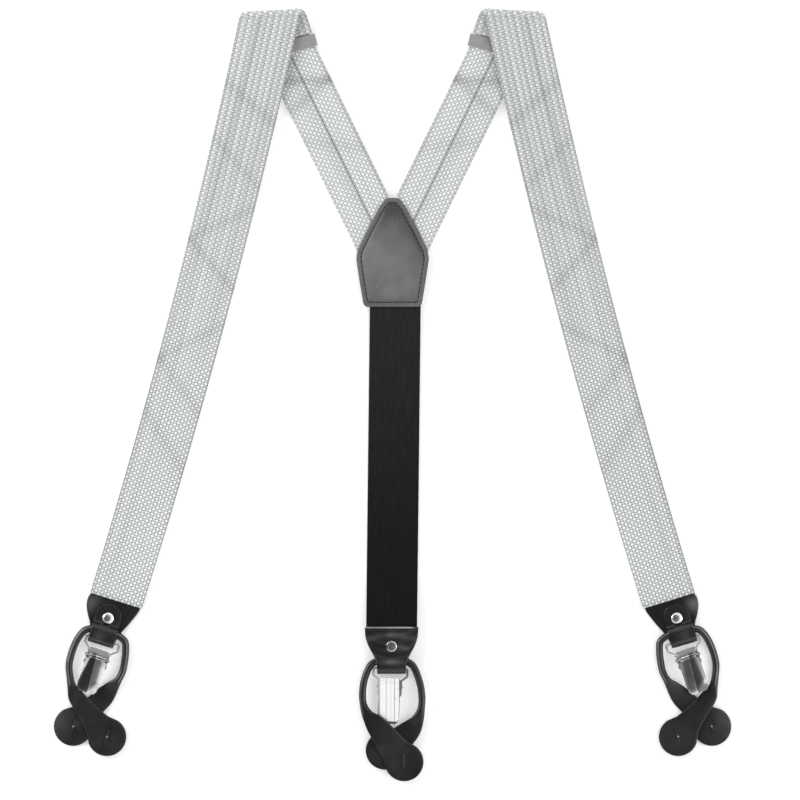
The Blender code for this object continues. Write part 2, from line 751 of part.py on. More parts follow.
def clip_frame(prefix, frame, looks):
    """The back plate of a clip with its ears and the wire it hangs by."""
    half = [(6.4, -6.6), (8.4, -9.0), (8.4, -17.5), (7.2, -19.5), (7.0, -34.6), (5.8, -CLIP_END)]
    outline = half + [(-x, y) for x, y in reversed(half)]
    body = to_object(prefix + "_clip_frame", plate(outline, BASE_LOW, BASE_TOP), looks["nickel"], frame)
    for edge in (-1, 1):
        xs = sorted((edge * EAR_IN, edge * EAR_OUT))
        ear_low = BASE_LOW + 0.2
        ear_half = [(-9.6, ear_low), (-9.6, 2.6), (-11.0, 3.3), (-14.0, 3.3), (-16.4, 1.2), (-16.4, ear_low)]
        ear = skin([[(x, y, z) for y, z in ear_half] for x in xs])
        combine(body, to_object("ear_join", ear, looks["nickel"], frame), "UNION")
    combine(body, wire_loop(frame, looks), "UNION")
    bore = rod(BORE_RADIUS, (-10, -PIN_DOWN, PIN_Z), (10, -PIN_DOWN, PIN_Z))
    combine(body, to_object("ear_bore", bore, looks["nickel"], frame), "DIFFERENCE")


def clip_pin(prefix, frame, looks):
    pin = rod(PIN_RADIUS, (-9.0, -PIN_DOWN, PIN_Z), (9.0, -PIN_DOWN, PIN_Z))
    to_object(prefix + "_clip_pin", pin, looks["nickel"], frame, (0, -PIN_DOWN, PIN_Z))


def clip_jaw(prefix, frame, looks):
    """The toothed plate under the lever, on two knuckles around the pin."""
    teeth = 5
    pitch = 11.6 / teeth
    outline = [(-5.8, -12.6), (-3.9, -12.6), (-3.9, -15.6), (3.9, -15.6), (3.9, -12.6), (5.8, -12.6)]
    for i in range(teeth):
        right = 5.8 - i * pitch
        outline += [(right, -33.4), (right - pitch / 2, -35.2)]
    outline.append((-5.8, -33.4))
    hinge = (0, -PIN_DOWN, PIN_Z)
    jaw = to_object(prefix + "_clip_jaw", plate(outline, 0.0, 0.7), looks["nickel"], frame, hinge)
    for edge in (-1, 1):
        knuckle = rod(1.9, (edge * 4.05, -PIN_DOWN, PIN_Z), (edge * 5.75, -PIN_DOWN, PIN_Z))
        combine(jaw, to_object("jaw_knuckle", knuckle, looks["nickel"], frame, hinge), "UNION")
    bore = rod(BORE_RADIUS, (-9, -PIN_DOWN, PIN_Z), (9, -PIN_DOWN, PIN_Z))
    combine(jaw, to_object("jaw_bore", bore, looks["nickel"], frame, hinge), "DIFFERENCE")


def clip_lever(prefix, frame, looks):
    """The faceted thumb lever: a flat spine with two bevelled flanks and a narrow tip."""
    stops = [
        (10.9, 6.6, 1.5, 2.0, 2.5, 3.4),
        (14.0, 7.2, 1.4, 2.3, 3.7, 3.6),
        (30.0, 7.5, 1.3, 2.0, 3.5, 4.2),
        (35.6, 6.9, 1.2, 1.7, 2.8, 2.8),
        (37.8, 5.2, 1.1, 1.5, 2.0, 1.0),
    ]
    rings = []
    for down, half, low, side_z, top, spine in stops:
        right = [(half, low), (half, side_z), (spine, top)]
        outline = right + [(-x, z) for x, z in reversed(right)]
        rings.append([(x, -down, z) for x, z in outline])
    hinge = (0, -PIN_DOWN, PIN_Z)
    lever = to_object(prefix + "_clip_lever", skin(rings), looks["nickel"], frame, hinge)
    knuckle = rod(1.95, (-3.4, -PIN_DOWN, PIN_Z), (3.4, -PIN_DOWN, PIN_Z))
    combine(lever, to_object("lever_knuckle", knuckle, looks["nickel"], frame, hinge), "UNION")
    for edge in (-1, 1):
        relief = rod(2.3, (edge * 3.7, -PIN_DOWN, PIN_Z), (edge * 9.0, -PIN_DOWN, PIN_Z))
        combine(lever, to_object("knuckle_relief", relief, looks["nickel"], frame, hinge), "DIFFERENCE")
    bore = rod(BORE_RADIUS, (-9, -PIN_DOWN, PIN_Z), (9, -PIN_DOWN, PIN_Z))
    combine(lever, to_object("lever_bore", bore, looks["nickel"], frame, hinge), "DIFFERENCE")


def clip(prefix, fitting, side, rear, looks):
    shift = CLIP_SHIFT if rear else -CLIP_SHIFT * side
    lean = REAR_CLIP_LEAN if rear else side * CLIP_LEAN
    frame = make_frame(prefix + "_clip", Vector((shift, -BAR_DOWN, CORD_Z)), lean)
    frame.parent = fitting
    clip_frame(prefix, frame, looks)
    clip_pin(prefix, frame, looks)
    clip_jaw(prefix, frame, looks)
    clip_lever(prefix, frame, looks)
    pad = box((-5.5, -34.8, BASE_TOP + GAP), (5.5, -27.0, -0.3))
    to_object(prefix + "_clip_pad", pad, looks["rubber"], frame)


def build():
    looks = {
        "fabric": fabric_look(),
        "core": core_look(),
        "leather": leather_look(),
        "patch": patch_look(),
        "pad": pad_look(),
        "elastic": elastic_look(),
        "nickel": nickel_look(),
        "satin": satin_look(),
        "rubber": rubber_look(),
    }
    yoke_patch(looks)
    elastic_strap(looks)
    for prefix, side in (("left", 1), ("right", -1)):
        back_ribbon(prefix, side, looks)
        sleeve_and_core(prefix + "_front_ribbon", front_stations(side), looks)
        shoulder_fold(prefix, side, looks)
        back_flap(prefix, side, looks)
        adjuster(prefix, side, looks)
    for prefix, plan in FITTINGS.items():
        side = plan["side"]
        rear = plan["rear"]
        place = plan["place"] + Vector((0, 0, FIT_HEIGHT if rear else 0))
        frame = make_frame(prefix + "_fitting", place, -side * plan["heading"], rear)
        leather_tab(prefix, frame, side, rear, looks)
        rivet(prefix, frame, side, rear, looks)
        button_loop(prefix, frame, side, rear, looks)
        clip(prefix, frame, side, rear, looks)


def centre_on_origin():
    """Moves the whole object so that the origin lies under the middle of its bounding box."""
    bpy.context.view_layer.update()
    corners = [
        piece.matrix_world @ vertex.co
        for piece in PARTS.objects
        if piece.type == "MESH"
        for vertex in piece.data.vertices
    ]
    for axis in (0, 1):
        values = [corner[axis] for corner in corners]
        middle = (min(values) + max(values)) / 2
        for piece in list(PARTS.objects) + list(CUTTERS.objects):
            if piece.parent is None:
                piece.location[axis] -= middle


for old_object in list(bpy.data.objects):
    bpy.data.objects.remove(old_object)
PARTS = make_collection("suspenders")
CUTTERS = make_collection("cutters")
build()
centre_on_origin()
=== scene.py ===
"""The looks of a pair of suspenders laid flat on a pale floor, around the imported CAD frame.

Lengths are in millimetres until a mesh is made. A strap's UV map holds millimetres across and
along the strap, so that its weave keeps one size everywhere.
"""

import math

import bmesh
import bpy
from mathutils import Matrix, Vector, noise


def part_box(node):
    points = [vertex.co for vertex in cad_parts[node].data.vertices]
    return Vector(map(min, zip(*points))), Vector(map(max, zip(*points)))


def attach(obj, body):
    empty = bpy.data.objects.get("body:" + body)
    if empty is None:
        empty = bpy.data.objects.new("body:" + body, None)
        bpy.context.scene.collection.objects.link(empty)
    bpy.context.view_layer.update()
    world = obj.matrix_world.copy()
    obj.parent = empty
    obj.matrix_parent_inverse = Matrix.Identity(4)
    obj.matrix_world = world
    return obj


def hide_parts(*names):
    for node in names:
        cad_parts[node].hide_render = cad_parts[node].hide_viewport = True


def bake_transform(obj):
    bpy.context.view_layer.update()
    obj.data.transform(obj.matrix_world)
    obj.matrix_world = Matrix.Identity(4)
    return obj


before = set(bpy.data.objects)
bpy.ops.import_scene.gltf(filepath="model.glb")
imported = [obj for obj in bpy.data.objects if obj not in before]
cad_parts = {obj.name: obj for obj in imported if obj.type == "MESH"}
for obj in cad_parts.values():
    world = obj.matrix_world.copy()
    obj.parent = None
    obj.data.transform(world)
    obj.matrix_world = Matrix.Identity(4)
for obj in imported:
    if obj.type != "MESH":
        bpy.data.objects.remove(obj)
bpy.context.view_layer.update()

MM = 0.001
UP = Vector((0, 0, 1))
PATCH_FOOT_Y = 60.0
patch_low, patch_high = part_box("y_patch_outer")
SHIFT = Vector(((patch_low.x + patch_high.x) / 2, patch_low.y - PATCH_FOOT_Y * MM, 0))

# straps
RIBBON_THICK = 1.8
BACK_WIDTH = 36.0
BACK_Z = 2.4
BACK_HEADING = math.radians(26.1)
BACK_POINT = Vector((-72.5, 237.7, BACK_Z))
BACK_TAIL = 22.0
BACK_LENGTH = 163.6
MITRE_ANGLE = math.radians(63.5)
MITRE_RUN = 32.0
FRONT_WIDTH_TOP = 40.5
FRONT_WIDTH_END = 37.0
FRONT_LENGTH = 416.0
FRONT_HEADING_TOP = math.radians(12.2)
FRONT_HEADING_END = math.radians(17.2)
FRONT_TWIST = 45.0
FRONT_HEIGHTS = [(0, 8.9), (26, 7.6), (78, 5.0), (128, 1.1), (356, 1.1), (396, 3.2)]

# the turn at the shoulder; its ends tuck in beside the strap and the flap, which start at a gap
FOLD_CENTRE = Vector((-84.0, 260.7, 6.7))
FOLD_TILT = math.radians(3.0)
FOLD_RADIUS = 2.2
FOLD_GAP = 1.35
FOLD_TUCK = 1.6
FOLD_NARROWING = 1.1
FOLD_V_SHIFT = 3.0
FLAP_TOP = Vector((-80.5, 260.7, 4.5))
FLAP_HEADING = math.radians(18.0)
FLAP_LENGTH = 18.5
FLAP_GAP = 1.3
SLIDE_TILT = math.radians(14.0)

# the elastic: its width and the two ends of its middle line
ELASTIC_WIDTH = 35.0
ELASTIC_TOP_X = 2.1
ELASTIC_TOP_Y = 84.0
ELASTIC_END_X = -0.7
ELASTIC_END_Y = -164.0

# leather fittings, measured down from the end of the strap
LEATHER_THICK = 1.4
LEATHER_LOW_Z = 1.3
TURN_DOWN = 27.4
TURN_RADIUS = 3.7
RIVET_DOWN = 12.8
CORD_DOWN = 22.5
CORD_Z = LEATHER_LOW_Z + TURN_RADIUS
FIT_HEIGHT = 9.8
TAB_RADIUS = 13.4
TAB_HALF_THICK = 0.9
CORD_RADIUS = 2.5
TONGUE_HALF = 9.0
RIVET_HOLE_RADIUS = 2.4
SLIT_WIDTH = 0.05
SLIT_LENGTH = 10.0
PINHOLE_RADIUS = 0.62
CUT_REACH = 1.15
LEVER_HEADING = math.radians(14.4)
RIDGE_SHIFT = 0.5
FITTINGS = {
    "left": (1, False, Vector((-189.8, -141.8, 0)), math.radians(16.7), "left_front_strap"),
    "right": (-1, False, Vector((189.8, -141.8, 0)), math.radians(16.7), "right_front_strap"),
    "rear": (1, True, Vector((-0.7, -160.0, 0)), 0.0, "rear_end"),
}

# the weaves. A u value of INNER_SIDE or more marks the side of a strap that shows its seam, and a
# v value of BACK_START or more marks a back ribbon
DOT_ACROSS = 4.34
DOT_ALONG = 3.61
INNER_SIDE = DOT_ACROSS * 200
SEAM_DEPTH = 0.28
BACK_START = DOT_ALONG * 300
THREAD_ACROSS = 0.42
THREAD_ALONG = 0.38
RIB_PITCH = 1.15
PICK_PITCH = 0.7

# the view and its light
VIEW_WIDTH = 548.8
VIEW_CENTRE = (5.1, -3.8)
EYE_HEIGHT = 1500.0
WORLD_STRENGTH = 1.3
DIM_DIRECTION = (-0.27, 0.0, 0.963)
ROOM_LIGHT = ((0.0, 0.55), (0.5, 1.05), (0.74, 0.8), (0.9, 0.16), (1.0, 0.08))
FLOOR_GLOW = 0.3
FLOOR_DROP = 0.2


def smoothstep(t):
    t = min(1.0, max(0.0, t))
    return t * t * (3 - 2 * t)


def hump(value, middle, width):
    """A smooth hump: 1 at the middle value and nearly 0 two widths away from it."""
    return math.exp(-(((value - middle) / width) ** 2))


def ripple(x, y, seed):
    """A smooth random value between about -1 and 1."""
    return noise.noise(Vector((x, y, seed)))


def between(value, table):
    """Reads a value from a short table of (position, value) pairs with eased steps."""
    for (low, first), (high, second) in zip(table, table[1:]):
        if value <= high:
            return first + (second - first) * smoothstep((value - low) / (high - low))
    return table[-1][1]


def smooth(points, steps):
    """Rounds a run of equal-length tuples with a Catmull-Rom spline."""
    rounded = []
    last = len(points) - 1
    for i in range(last):
        before = points[max(i - 1, 0)]
        after = points[min(i + 2, last)]
        for k in range(steps):
            t = k / steps
            values = []
            for a, b, c, d in zip(before, points[i], points[i + 1], after):
                curve = (2 * a - 5 * b + 4 * c - d) * t + (3 * b - a - 3 * c + d) * t * t
                values.append(b + ((c - a) + curve) * t / 2)
            rounded.append(tuple(values))
    rounded.append(tuple(points[-1]))
    return rounded


class Look:
    """A node material built from short calls."""

    def __init__(self, name):
        self.material = bpy.data.materials.new(name)
        self.material.use_nodes = True
        self.tree = self.material.node_tree
        self.shader = self.tree.nodes["Principled BSDF"]

    def link(self, value, socket):
        if isinstance(value, bpy.types.NodeSocket):
            self.tree.links.new(value, socket)
        else:
            socket.default_value = value

    def add(self, kind, *values):
        """Adds a node and feeds its inputs in their order."""
        node = self.tree.nodes.new("ShaderNode" + kind)
        for value, socket in zip(values, node.inputs):
            self.link(value, socket)
        return node

    def math(self, operation, a, b=0.0, c=0.0):
        node = self.add("Math", a, b, c)
        node.operation = operation
        return node.outputs[0]

    def times(self, a, b):
        return self.math("MULTIPLY", a, b)

    def away(self, value, middle):
        """How far a value is from a middle one."""
        return self.math("ABSOLUTE", self.math("SUBTRACT", value, middle))

    def wave(self, value, pitch):
        return self.math("SINE", self.times(value, 2 * math.pi / pitch))

    def ramp(self, value, low, high, start=0.0, end=1.0):
        """Eases a value from start to end as it goes from low to high."""
        node = self.add("MapRange", value, low, high, start, end)
        node.interpolation_type = "SMOOTHSTEP"
        return node.outputs[0]

    def mix(self, share, first, second, blend="MIX"):
        node = self.add("Mix", share)
        node.data_type = "RGBA"
        node.blend_type = blend
        self.link(first, node.inputs[6])
        self.link(second, node.inputs[7])
        return node.outputs[2]

    def shade(self, colour, amount):
        """A colour made darker or lighter by an amount."""
        return self.mix(1.0, colour, self.join(amount, amount, amount), "MULTIPLY")

    def coords(self, kind):
        return self.add("TexCoord").outputs[kind]

    def split(self, vector):
        return self.add("SeparateXYZ", vector).outputs

    def join(self, x, y, z=0.0):
        return self.add("CombineXYZ", x, y, z).outputs[0]

    def noise(self, vector, scale, detail):
        node = self.add("TexNoise", vector)
        node.inputs["Scale"].default_value = scale
        node.inputs["Detail"].default_value = detail
        return node.outputs[0]

    def cells(self, vector, scale):
        node = self.add("TexVoronoi", vector)
        node.inputs["Scale"].default_value = scale
        return node.outputs["Distance"]

    def attribute(self, name):
        node = self.add("Attribute")
        node.attribute_name = name
        return node.outputs["Fac"]

    def occlusion(self, reach):
        """How open the surface is: 0 in a crevice, 1 on an open face."""
        node = self.add("AmbientOcclusion")
        node.samples = 8
        node.inputs["Distance"].default_value = reach
        return node.outputs["AO"]

    def bump(self, height, strength, distance):
        node = self.add("Bump", strength, distance)
        self.link(height, node.inputs["Height"])
        self.link(node.outputs[0], self.shader.inputs["Normal"])

    def set(self, **values):
        for name, value in values.items():
            self.link(value, self.shader.inputs[name.replace("_", " ")])
        return self.material


def grey(value):
    return (value, value, value, 1)


def dot_distance(look, p, q):
    """How far a point is from the nearest dot of the centred grid, in millimetres."""
    reach = []
    for shift in (0.0, 0.5):
        squares = []
        for value, pitch in ((p, DOT_ACROSS), (q, DOT_ALONG)):
            step = look.math("FRACT", look.math("ADD", value, 0.5 + shift))
            squares.append(look.math("POWER", look.times(look.math("SUBTRACT", step, 0.5), pitch), 2.0))
        reach.append(look.math("SQRT", look.math("ADD", squares[0], squares[1])))
    return look.math("MINIMUM", reach[0], reach[1])


def fabric_look():
    """Silver jacquard: white dots in grey rings, fine threads, and a seam down the inner side.
    The top of a front strap, where v is small, shows bright lines and painted rib shade more than dots."""
    look = Look("patterned_fabric")
    u, v = look.split(look.coords("UV"))[:2]
    p = look.math("DIVIDE", u, DOT_ACROSS)
    away = dot_distance(look, p, look.math("DIVIDE", v, DOT_ALONG))
    threads = look.times(look.wave(u, THREAD_ACROSS), look.wave(v, THREAD_ALONG))
    weave = look.math("MULTIPLY_ADD", threads, 0.25, 0.5)
    colour = look.mix(weave, (0.62, 0.64, 0.632, 1), (0.80, 0.82, 0.812, 1))
    ring = look.times(look.ramp(away, 0.85, 1.15), look.ramp(away, 1.25, 1.55, 1.0, 0.0))
    ring = look.times(ring, look.ramp(v, 420.0, BACK_START, 0.95, 0.74))
    colour = look.mix(ring, colour, (0.18, 0.195, 0.19, 1))
    dot = look.times(look.ramp(away, 0.5, 1.0, 1.0, 0.0), look.ramp(v, 60.0, 300.0, 0.55, 1.0))
    colour = look.mix(dot, colour, (0.95, 0.97, 0.962, 1))
    line = look.away(look.math("FRACT", look.math("ADD", p, 0.25)), 0.5)
    line = look.times(look.ramp(line, 0.04, 0.12, 1.0, 0.0), look.ramp(v, 60.0, 300.0, 0.5, 0.0))
    colour = look.mix(line, colour, (0.86, 0.88, 0.872, 1))
    # painted shade between the woven ribs, strongest at the top of a front strap
    stripe = look.math("COSINE", look.times(u, 2 * math.pi / DOT_ACROSS))
    ribs = look.times(look.ramp(stripe, -1.0, -0.2, 1.0, 0.0), look.ramp(v, 40.0, 300.0, 0.32, 0.03))
    colour = look.mix(ribs, colour, (0.16, 0.17, 0.165, 1))
    patches = look.noise(look.join(look.times(u, 0.12), look.times(v, 0.03)), 1.0, 2.0)
    colour = look.mix(look.ramp(patches, 0.35, 0.7, 0.0, 0.18), colour, (0.5, 0.53, 0.52, 1))
    seam = look.ramp(look.away(u, INNER_SIDE), 0.2, 0.6, 0.9, 0.0)
    colour = look.mix(seam, colour, (0.06, 0.065, 0.065, 1))
    # painted shade from the tone attribute: darker creases, edges, bands and soft undulations
    colour = look.shade(colour, look.attribute("tone"))
    look.bump(look.math("ADD", dot, look.times(threads, 0.35)), 0.5, 0.12 * MM)
    return look.set(Base_Color=colour, Roughness=0.62, Sheen_Weight=0.15, Specular_IOR_Level=0.35)


def leather_look(name, dark, light, roughness, gloss):
    """Smooth dyed leather with pores, soft creasing and a slightly uneven finish."""
    look = Look(name)
    spot = look.coords("Object")
    pores = look.cells(spot, 900.0)
    fine = look.noise(spot, 1400.0, 2.0)
    broad = look.noise(spot, 70.0, 3.0)
    colour = look.mix(look.ramp(broad, 0.3, 0.7), dark, light)
    # painted highlights from the tone attribute: the sheen of the tabs and the lines of light on the
    # cords
    colour = look.shade(colour, look.attribute("tone"))
    rough = look.math("ADD", look.times(broad, 0.16), roughness - 0.08)
    look.bump(look.math("ADD", look.times(pores, 0.8), look.times(fine, 0.4)), 0.3, 0.15 * MM)
    look.set(Base_Color=colour, Roughness=rough, Specular_IOR_Level=0.5)
    return look.set(Coat_Weight=gloss, Coat_Roughness=0.3)


def elastic_look():
    """Black webbing with lengthwise ribs and a fine cross weave, lighter at its top than at its end."""
    look = Look("elastic_webbing")
    u, v = look.split(look.coords("UV"))[:2]
    rib = look.wave(u, RIB_PITCH)
    weave = look.times(rib, look.wave(v, PICK_PITCH))
    lint = look.noise(look.join(look.times(u, 0.5), look.times(v, 0.06)), 1.0, 4.0)
    weave_tone = look.ramp(weave, -1.0, 1.0)
    colour = look.mix(weave_tone, (0.006, 0.006, 0.0062, 1), (0.012, 0.012, 0.0125, 1))
    colour = look.mix(look.ramp(lint, 0.4, 0.75, 0.0, 0.35), colour, (0.02, 0.02, 0.0205, 1))
    # lighter at the top and darker towards the lower end
    colour = look.shade(colour, look.ramp(v, 0.0, 240.0, 1.7, 0.5))
    look.bump(look.math("ADD", rib, look.times(weave, 0.6)), 0.5, 0.12 * MM)
    return look.set(Base_Color=colour, Roughness=0.8, Specular_IOR_Level=0.12)


def metal_look(name, colour, roughness, scratch, metallic=1.0):
    """Rolled steel with fine streaks, faint smudges and painted shade in its crevices."""
    look = Look(name)
    spot = look.coords("Object")
    x, y, z = look.split(spot)[:3]
    streaks = look.noise(look.join(look.times(x, 30.0), look.times(y, 600.0), z), 6.0, 3.0)
    smudges = look.noise(spot, 120.0, 2.0)
    rough = look.math("MULTIPLY_ADD", smudges, 0.12, roughness - 0.06)
    rough = look.math("MULTIPLY_ADD", streaks, scratch * 0.2, rough)
    smudged = tuple(c * 0.86 for c in colour[:3]) + (1,)
    tint = look.mix(look.ramp(smudges, 0.3, 0.7), colour, smudged)
    # painted shade: the colour darkens where ambient occlusion finds a crevice
    tint = look.shade(tint, look.ramp(look.occlusion(1.8 * MM), 0.3, 0.9, 0.06, 1.0))
    look.bump(streaks, scratch, 0.04 * MM)
    return look.set(Base_Color=tint, Metallic=metallic, Roughness=rough)


def across_piece(look, name, angle):
    """How far a point is from the middle line of a CAD node, in millimetres."""
    low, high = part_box(name)
    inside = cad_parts[name].matrix_world.inverted()
    across = inside.to_3x3() @ Vector((math.cos(angle), math.sin(angle), 0))
    offset = -across.dot(inside @ ((low + high) / 2)) / MM
    for value, share in zip(look.split(look.coords("Object")), across):
        offset = look.math("MULTIPLY_ADD", value, share / MM, offset)
    return offset


def lever_look(prefix, side):
    """A lever pressed with one long ridge, drawn with painted reflections: a dark outer flank, a pale
    inner one and a painted highlight along the crest.
    """
    look = Look(prefix + "_lever_metal")
    x = look.times(across_piece(look, prefix + "_clip_lever", -side * LEVER_HEADING), side)
    # painted reflections: the outer flank dark, the inner one pale
    flank = look.ramp(x, RIDGE_SHIFT - 0.3, RIDGE_SHIFT + 0.3)
    colour = look.mix(flank, grey(0.2), (0.66, 0.66, 0.65, 1))
    # a painted highlight along the crest
    crest = look.ramp(look.away(x, RIDGE_SHIFT), 0.15, 0.45, 1.0, 0.0)
    colour = look.mix(crest, colour, grey(1.0))
    smudges = look.noise(look.coords("Object"), 160.0, 3.0)
    colour = look.mix(look.ramp(smudges, 0.45, 0.7, 0.0, 0.5), colour, grey(0.25))
    return look.set(Base_Color=colour, Metallic=1.0, Roughness=0.18)


def plate_look(name):
    """The near-white back plate of a clip, partly its bright metal and partly a painted reflection,
    with three pressed lines drawn as painted shade, and painted shade along its turned edges and in its
    crevices.
    """
    look = Look(name + "_metal")
    x = across_piece(look, name, 0.0)
    # painted shade along the turned edges
    shade = look.times(look.ramp(x, 5.6, 6.2, 1.0, 0.18), look.ramp(x, -7.4, -6.8, 0.5, 1.0))
    # the pressed lines are painted shade, not cut into the plate
    for middle, darkness in ((-2.9, 0.55), (2.7, 0.4), (0.3, 0.8)):
        shade = look.times(shade, look.ramp(look.away(x, middle), 0.1, 0.4, darkness, 1.0))
    smudges = look.noise(look.coords("Object"), 260.0, 3.0)
    shade = look.times(shade, look.ramp(smudges, 0.55, 0.75, 1.0, 0.75))
    # painted shade in the crevices
    shade = look.times(shade, look.ramp(look.occlusion(2.5 * MM), 0.4, 0.95, 0.1, 1.0))
    return look.set(Base_Color=look.join(shade, shade, shade), Metallic=0.2, Roughness=0.4)


def rubber_look():
    look = Look("grip_rubber")
    grain = look.noise(look.coords("Object"), 1500.0, 2.0)
    look.bump(grain, 0.4, 0.1 * MM)
    colour = look.mix(grain, grey(0.02), grey(0.04))
    return look.set(Base_Color=colour, Roughness=0.75)


def foam_look():
    look = Look("patch_padding")
    bubbles = look.cells(look.coords("Object"), 1200.0)
    colour = look.mix(bubbles, (0.25, 0.24, 0.2, 1), (0.5, 0.48, 0.4, 1))
    look.bump(bubbles, 0.5, 0.2 * MM)
    return look.set(Base_Color=colour, Roughness=0.9)


def thread_look():
    """Twisted sewing thread."""
    look = Look("patch_thread")
    twist = look.noise(look.coords("Object"), 5000.0, 1.0)
    shade = look.mix(twist, grey(0.0072), grey(0.012))
    look.bump(twist, 0.5, 0.05 * MM)
    return look.set(Base_Color=shade, Roughness=0.6)


def place(point):
    """A point of the design, in millimetres, in the row frame."""
    return Vector(point) * MM + SHIFT


def add_object(name, data):
    made = bpy.data.objects.new(name, data)
    bpy.context.scene.collection.objects.link(made)
    return made


def mesh_object(name, bm):
    """Turns a bmesh into an object of the scene."""
    mesh = bpy.data.meshes.new(name)
    bm.to_mesh(mesh)
    bm.free()
    return add_object(name, mesh)


def add_piece(name, bm, look):
    bmesh.ops.recalc_face_normals(bm, faces=bm.faces)
    piece = mesh_object(name, bm)
    for polygon in piece.data.polygons:
        polygon.use_smooth = True
    piece.data.materials.append(look)
    return piece


def settle(piece, body, slot, *nodes):
    """Makes a piece follow a body and hides the CAD nodes that it stands for. The slot argument is not
    used.
    """
    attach(piece, body)
    if nodes:
        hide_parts(*nodes)


def skin(name, rings, look, inner=()):
    """Joins rings into a closed surface. Each ring point is (position, u, v, tone). The segments
    named in inner lie on the side of a strap that shows its seam."""
    bm = bmesh.new()
    uv_layer = bm.loops.layers.uv.new("UVMap")
    tone_layer = bm.verts.layers.float.new("tone")
    loops = []
    for ring in rings:
        loop = []
        for point, u, v, tone in ring:
            vertex = bm.verts.new(place(point))
            vertex[tone_layer] = tone
            loop.append((vertex, u, v))
        loops.append(loop)
    count = len(loops[0])
    for first, second in zip(loops, loops[1:]):
        for i in range(count):
            j = (i + 1) % count
            corners = (first[i], first[j], second[j], second[i])
            face = bm.faces.new([corner[0] for corner in corners])
            shift = INNER_SIDE if i in inner else 0.0
            for face_corner, corner in zip(face.loops, corners):
                face_corner[uv_layer].uv = (corner[1] + shift, corner[2])
    for loop in (loops[0], loops[-1]):
        face = bm.faces.new([corner[0] for corner in loop])
        for face_corner, corner in zip(face.loops, loop):
            face_corner[uv_layer].uv = (corner[1], corner[2])
    return add_piece(name, bm, look)


def strap_outline(half_width, half_thick, steps):
    """The cut section of a strap as (across, height), top side first."""
    round_off = min(half_thick, 0.8 * half_width)
    flat = half_width - round_off
    top = [(-flat + 2 * flat * i / steps, half_thick) for i in range(steps + 1)]
    edge = []
    for k in (1, 2, 3):
        angle = math.pi / 2 - math.pi * k / 4
        edge.append((flat + round_off * math.cos(angle), half_thick * math.sin(angle)))
    bottom = [(-x, -z) for x, z in top]
    far_edge = [(-x, -z) for x, z in edge]
    return top + edge + bottom + far_edge


def strap(name, stations, look, steps, relief=None, seam_up=False, frame_matrix=Matrix()):
    """A flexible strap. A station is (centre, across, normal, half width, half thickness, distance),
    and ends with the direction square to the strap where its section is cut slantwise."""
    rings = []
    for centre, across, normal, half_width, half_thick, v, *square in stations:
        square = square[0] if square else across
        grain = Vector((across.dot(square), across.dot(square.cross(UP))))
        ring = []
        for i, (x, z) in enumerate(strap_outline(half_width, half_thick, steps)):
            lift, tone = relief(x, v, i > steps, half_width) if relief else (0.0, 1.0)
            spot = frame_matrix @ (centre + across * x + normal * (z + lift))
            ring.append((spot, x * grain.x, v + x * grain.y, tone))
        rings.append(ring)
    edge_segments = 4
    lower = steps + edge_segments
    seam_side = range(steps) if seam_up else range(lower, lower + steps)
    return skin(name, rings, look, inner=seam_side)


def heading_vector(angle, side):
    return Vector((-side * math.sin(angle), -math.cos(angle), 0))


def tilted(angle, side):
    """A direction across the object that rises by an angle towards its middle."""
    return Vector((math.cos(angle), side * math.sin(angle), 0))


def mirrored(point, side):
    return Vector((point.x * side, point.y, point.z))


# creases pressed into the straps, and darkened by their depth with painted shade:
# (distance along, slant, depth, width of the crease)
FRONT_CREASES = [(62, 0.55, 0.14, 3.5), (104, 0.7, 0.12, 3.0), (147, -0.8, 0.12, 3.5)]
FRONT_CREASES += [(176, 0.7, 0.16, 3.0), (231, -0.9, 0.12, 3.5), (262, 0.8, 0.10, 4.0)]
FRONT_CREASES += [(301, 0.9, 0.10, 5.0)]
BACK_CREASES = [
    (BACK_START + 47, 0.45, 0.22, 3.2),
    (BACK_START + 58, -0.3, 0.16, 3.5),
    (BACK_START + 96, 0.6, 0.08, 5),
]


def crease_relief(creases, seed, side, seam_up=False):
    """Returns a function that gives the lift and the tone of a strap's surface at a point: creases
    with painted shade, two bands of painted shade down the top of a front strap, painted shade on
    its edges and on its soft undulations, and the seam on its inner side."""

    def relief(across, v, below, half_width):
        x = across * side
        grain = ripple(x * 0.21, v * 0.004, seed)
        fine = ripple(x * 0.55, v * 0.012, seed + 7)
        lift = 0.05 * grain
        # the broad ripple darkens the raised undulations as painted shade; the fine ripple is random
        # tone
        tone = 1.0 - 0.22 * max(0.0, grain) - 0.08 * fine
        # each crease is pressed in and darkened with painted shade
        for start, slant, depth, width in creases:
            fold = hump(v, start + slant * x, width)
            lift -= depth * fold
            tone -= 1.2 * depth * fold
        if v < BACK_START:
            # two bands of painted shade down the top of a front strap
            shade = 1.0 - smoothstep((v - 60.0) / 260.0)
            tone -= 0.2 * shade * hump(x, -6.0 - 0.03 * v, 2.6)
            tone -= 0.1 * shade * hump(x, 13.0, 2.4)
        # painted shade along both edges of the strap
        tone -= 0.42 * hump(abs(x), half_width, 0.75)
        if below != seam_up:
            lift += (SEAM_DEPTH if below else -SEAM_DEPTH) * hump(x, 0.0, 0.45)
        return lift, tone

    return relief


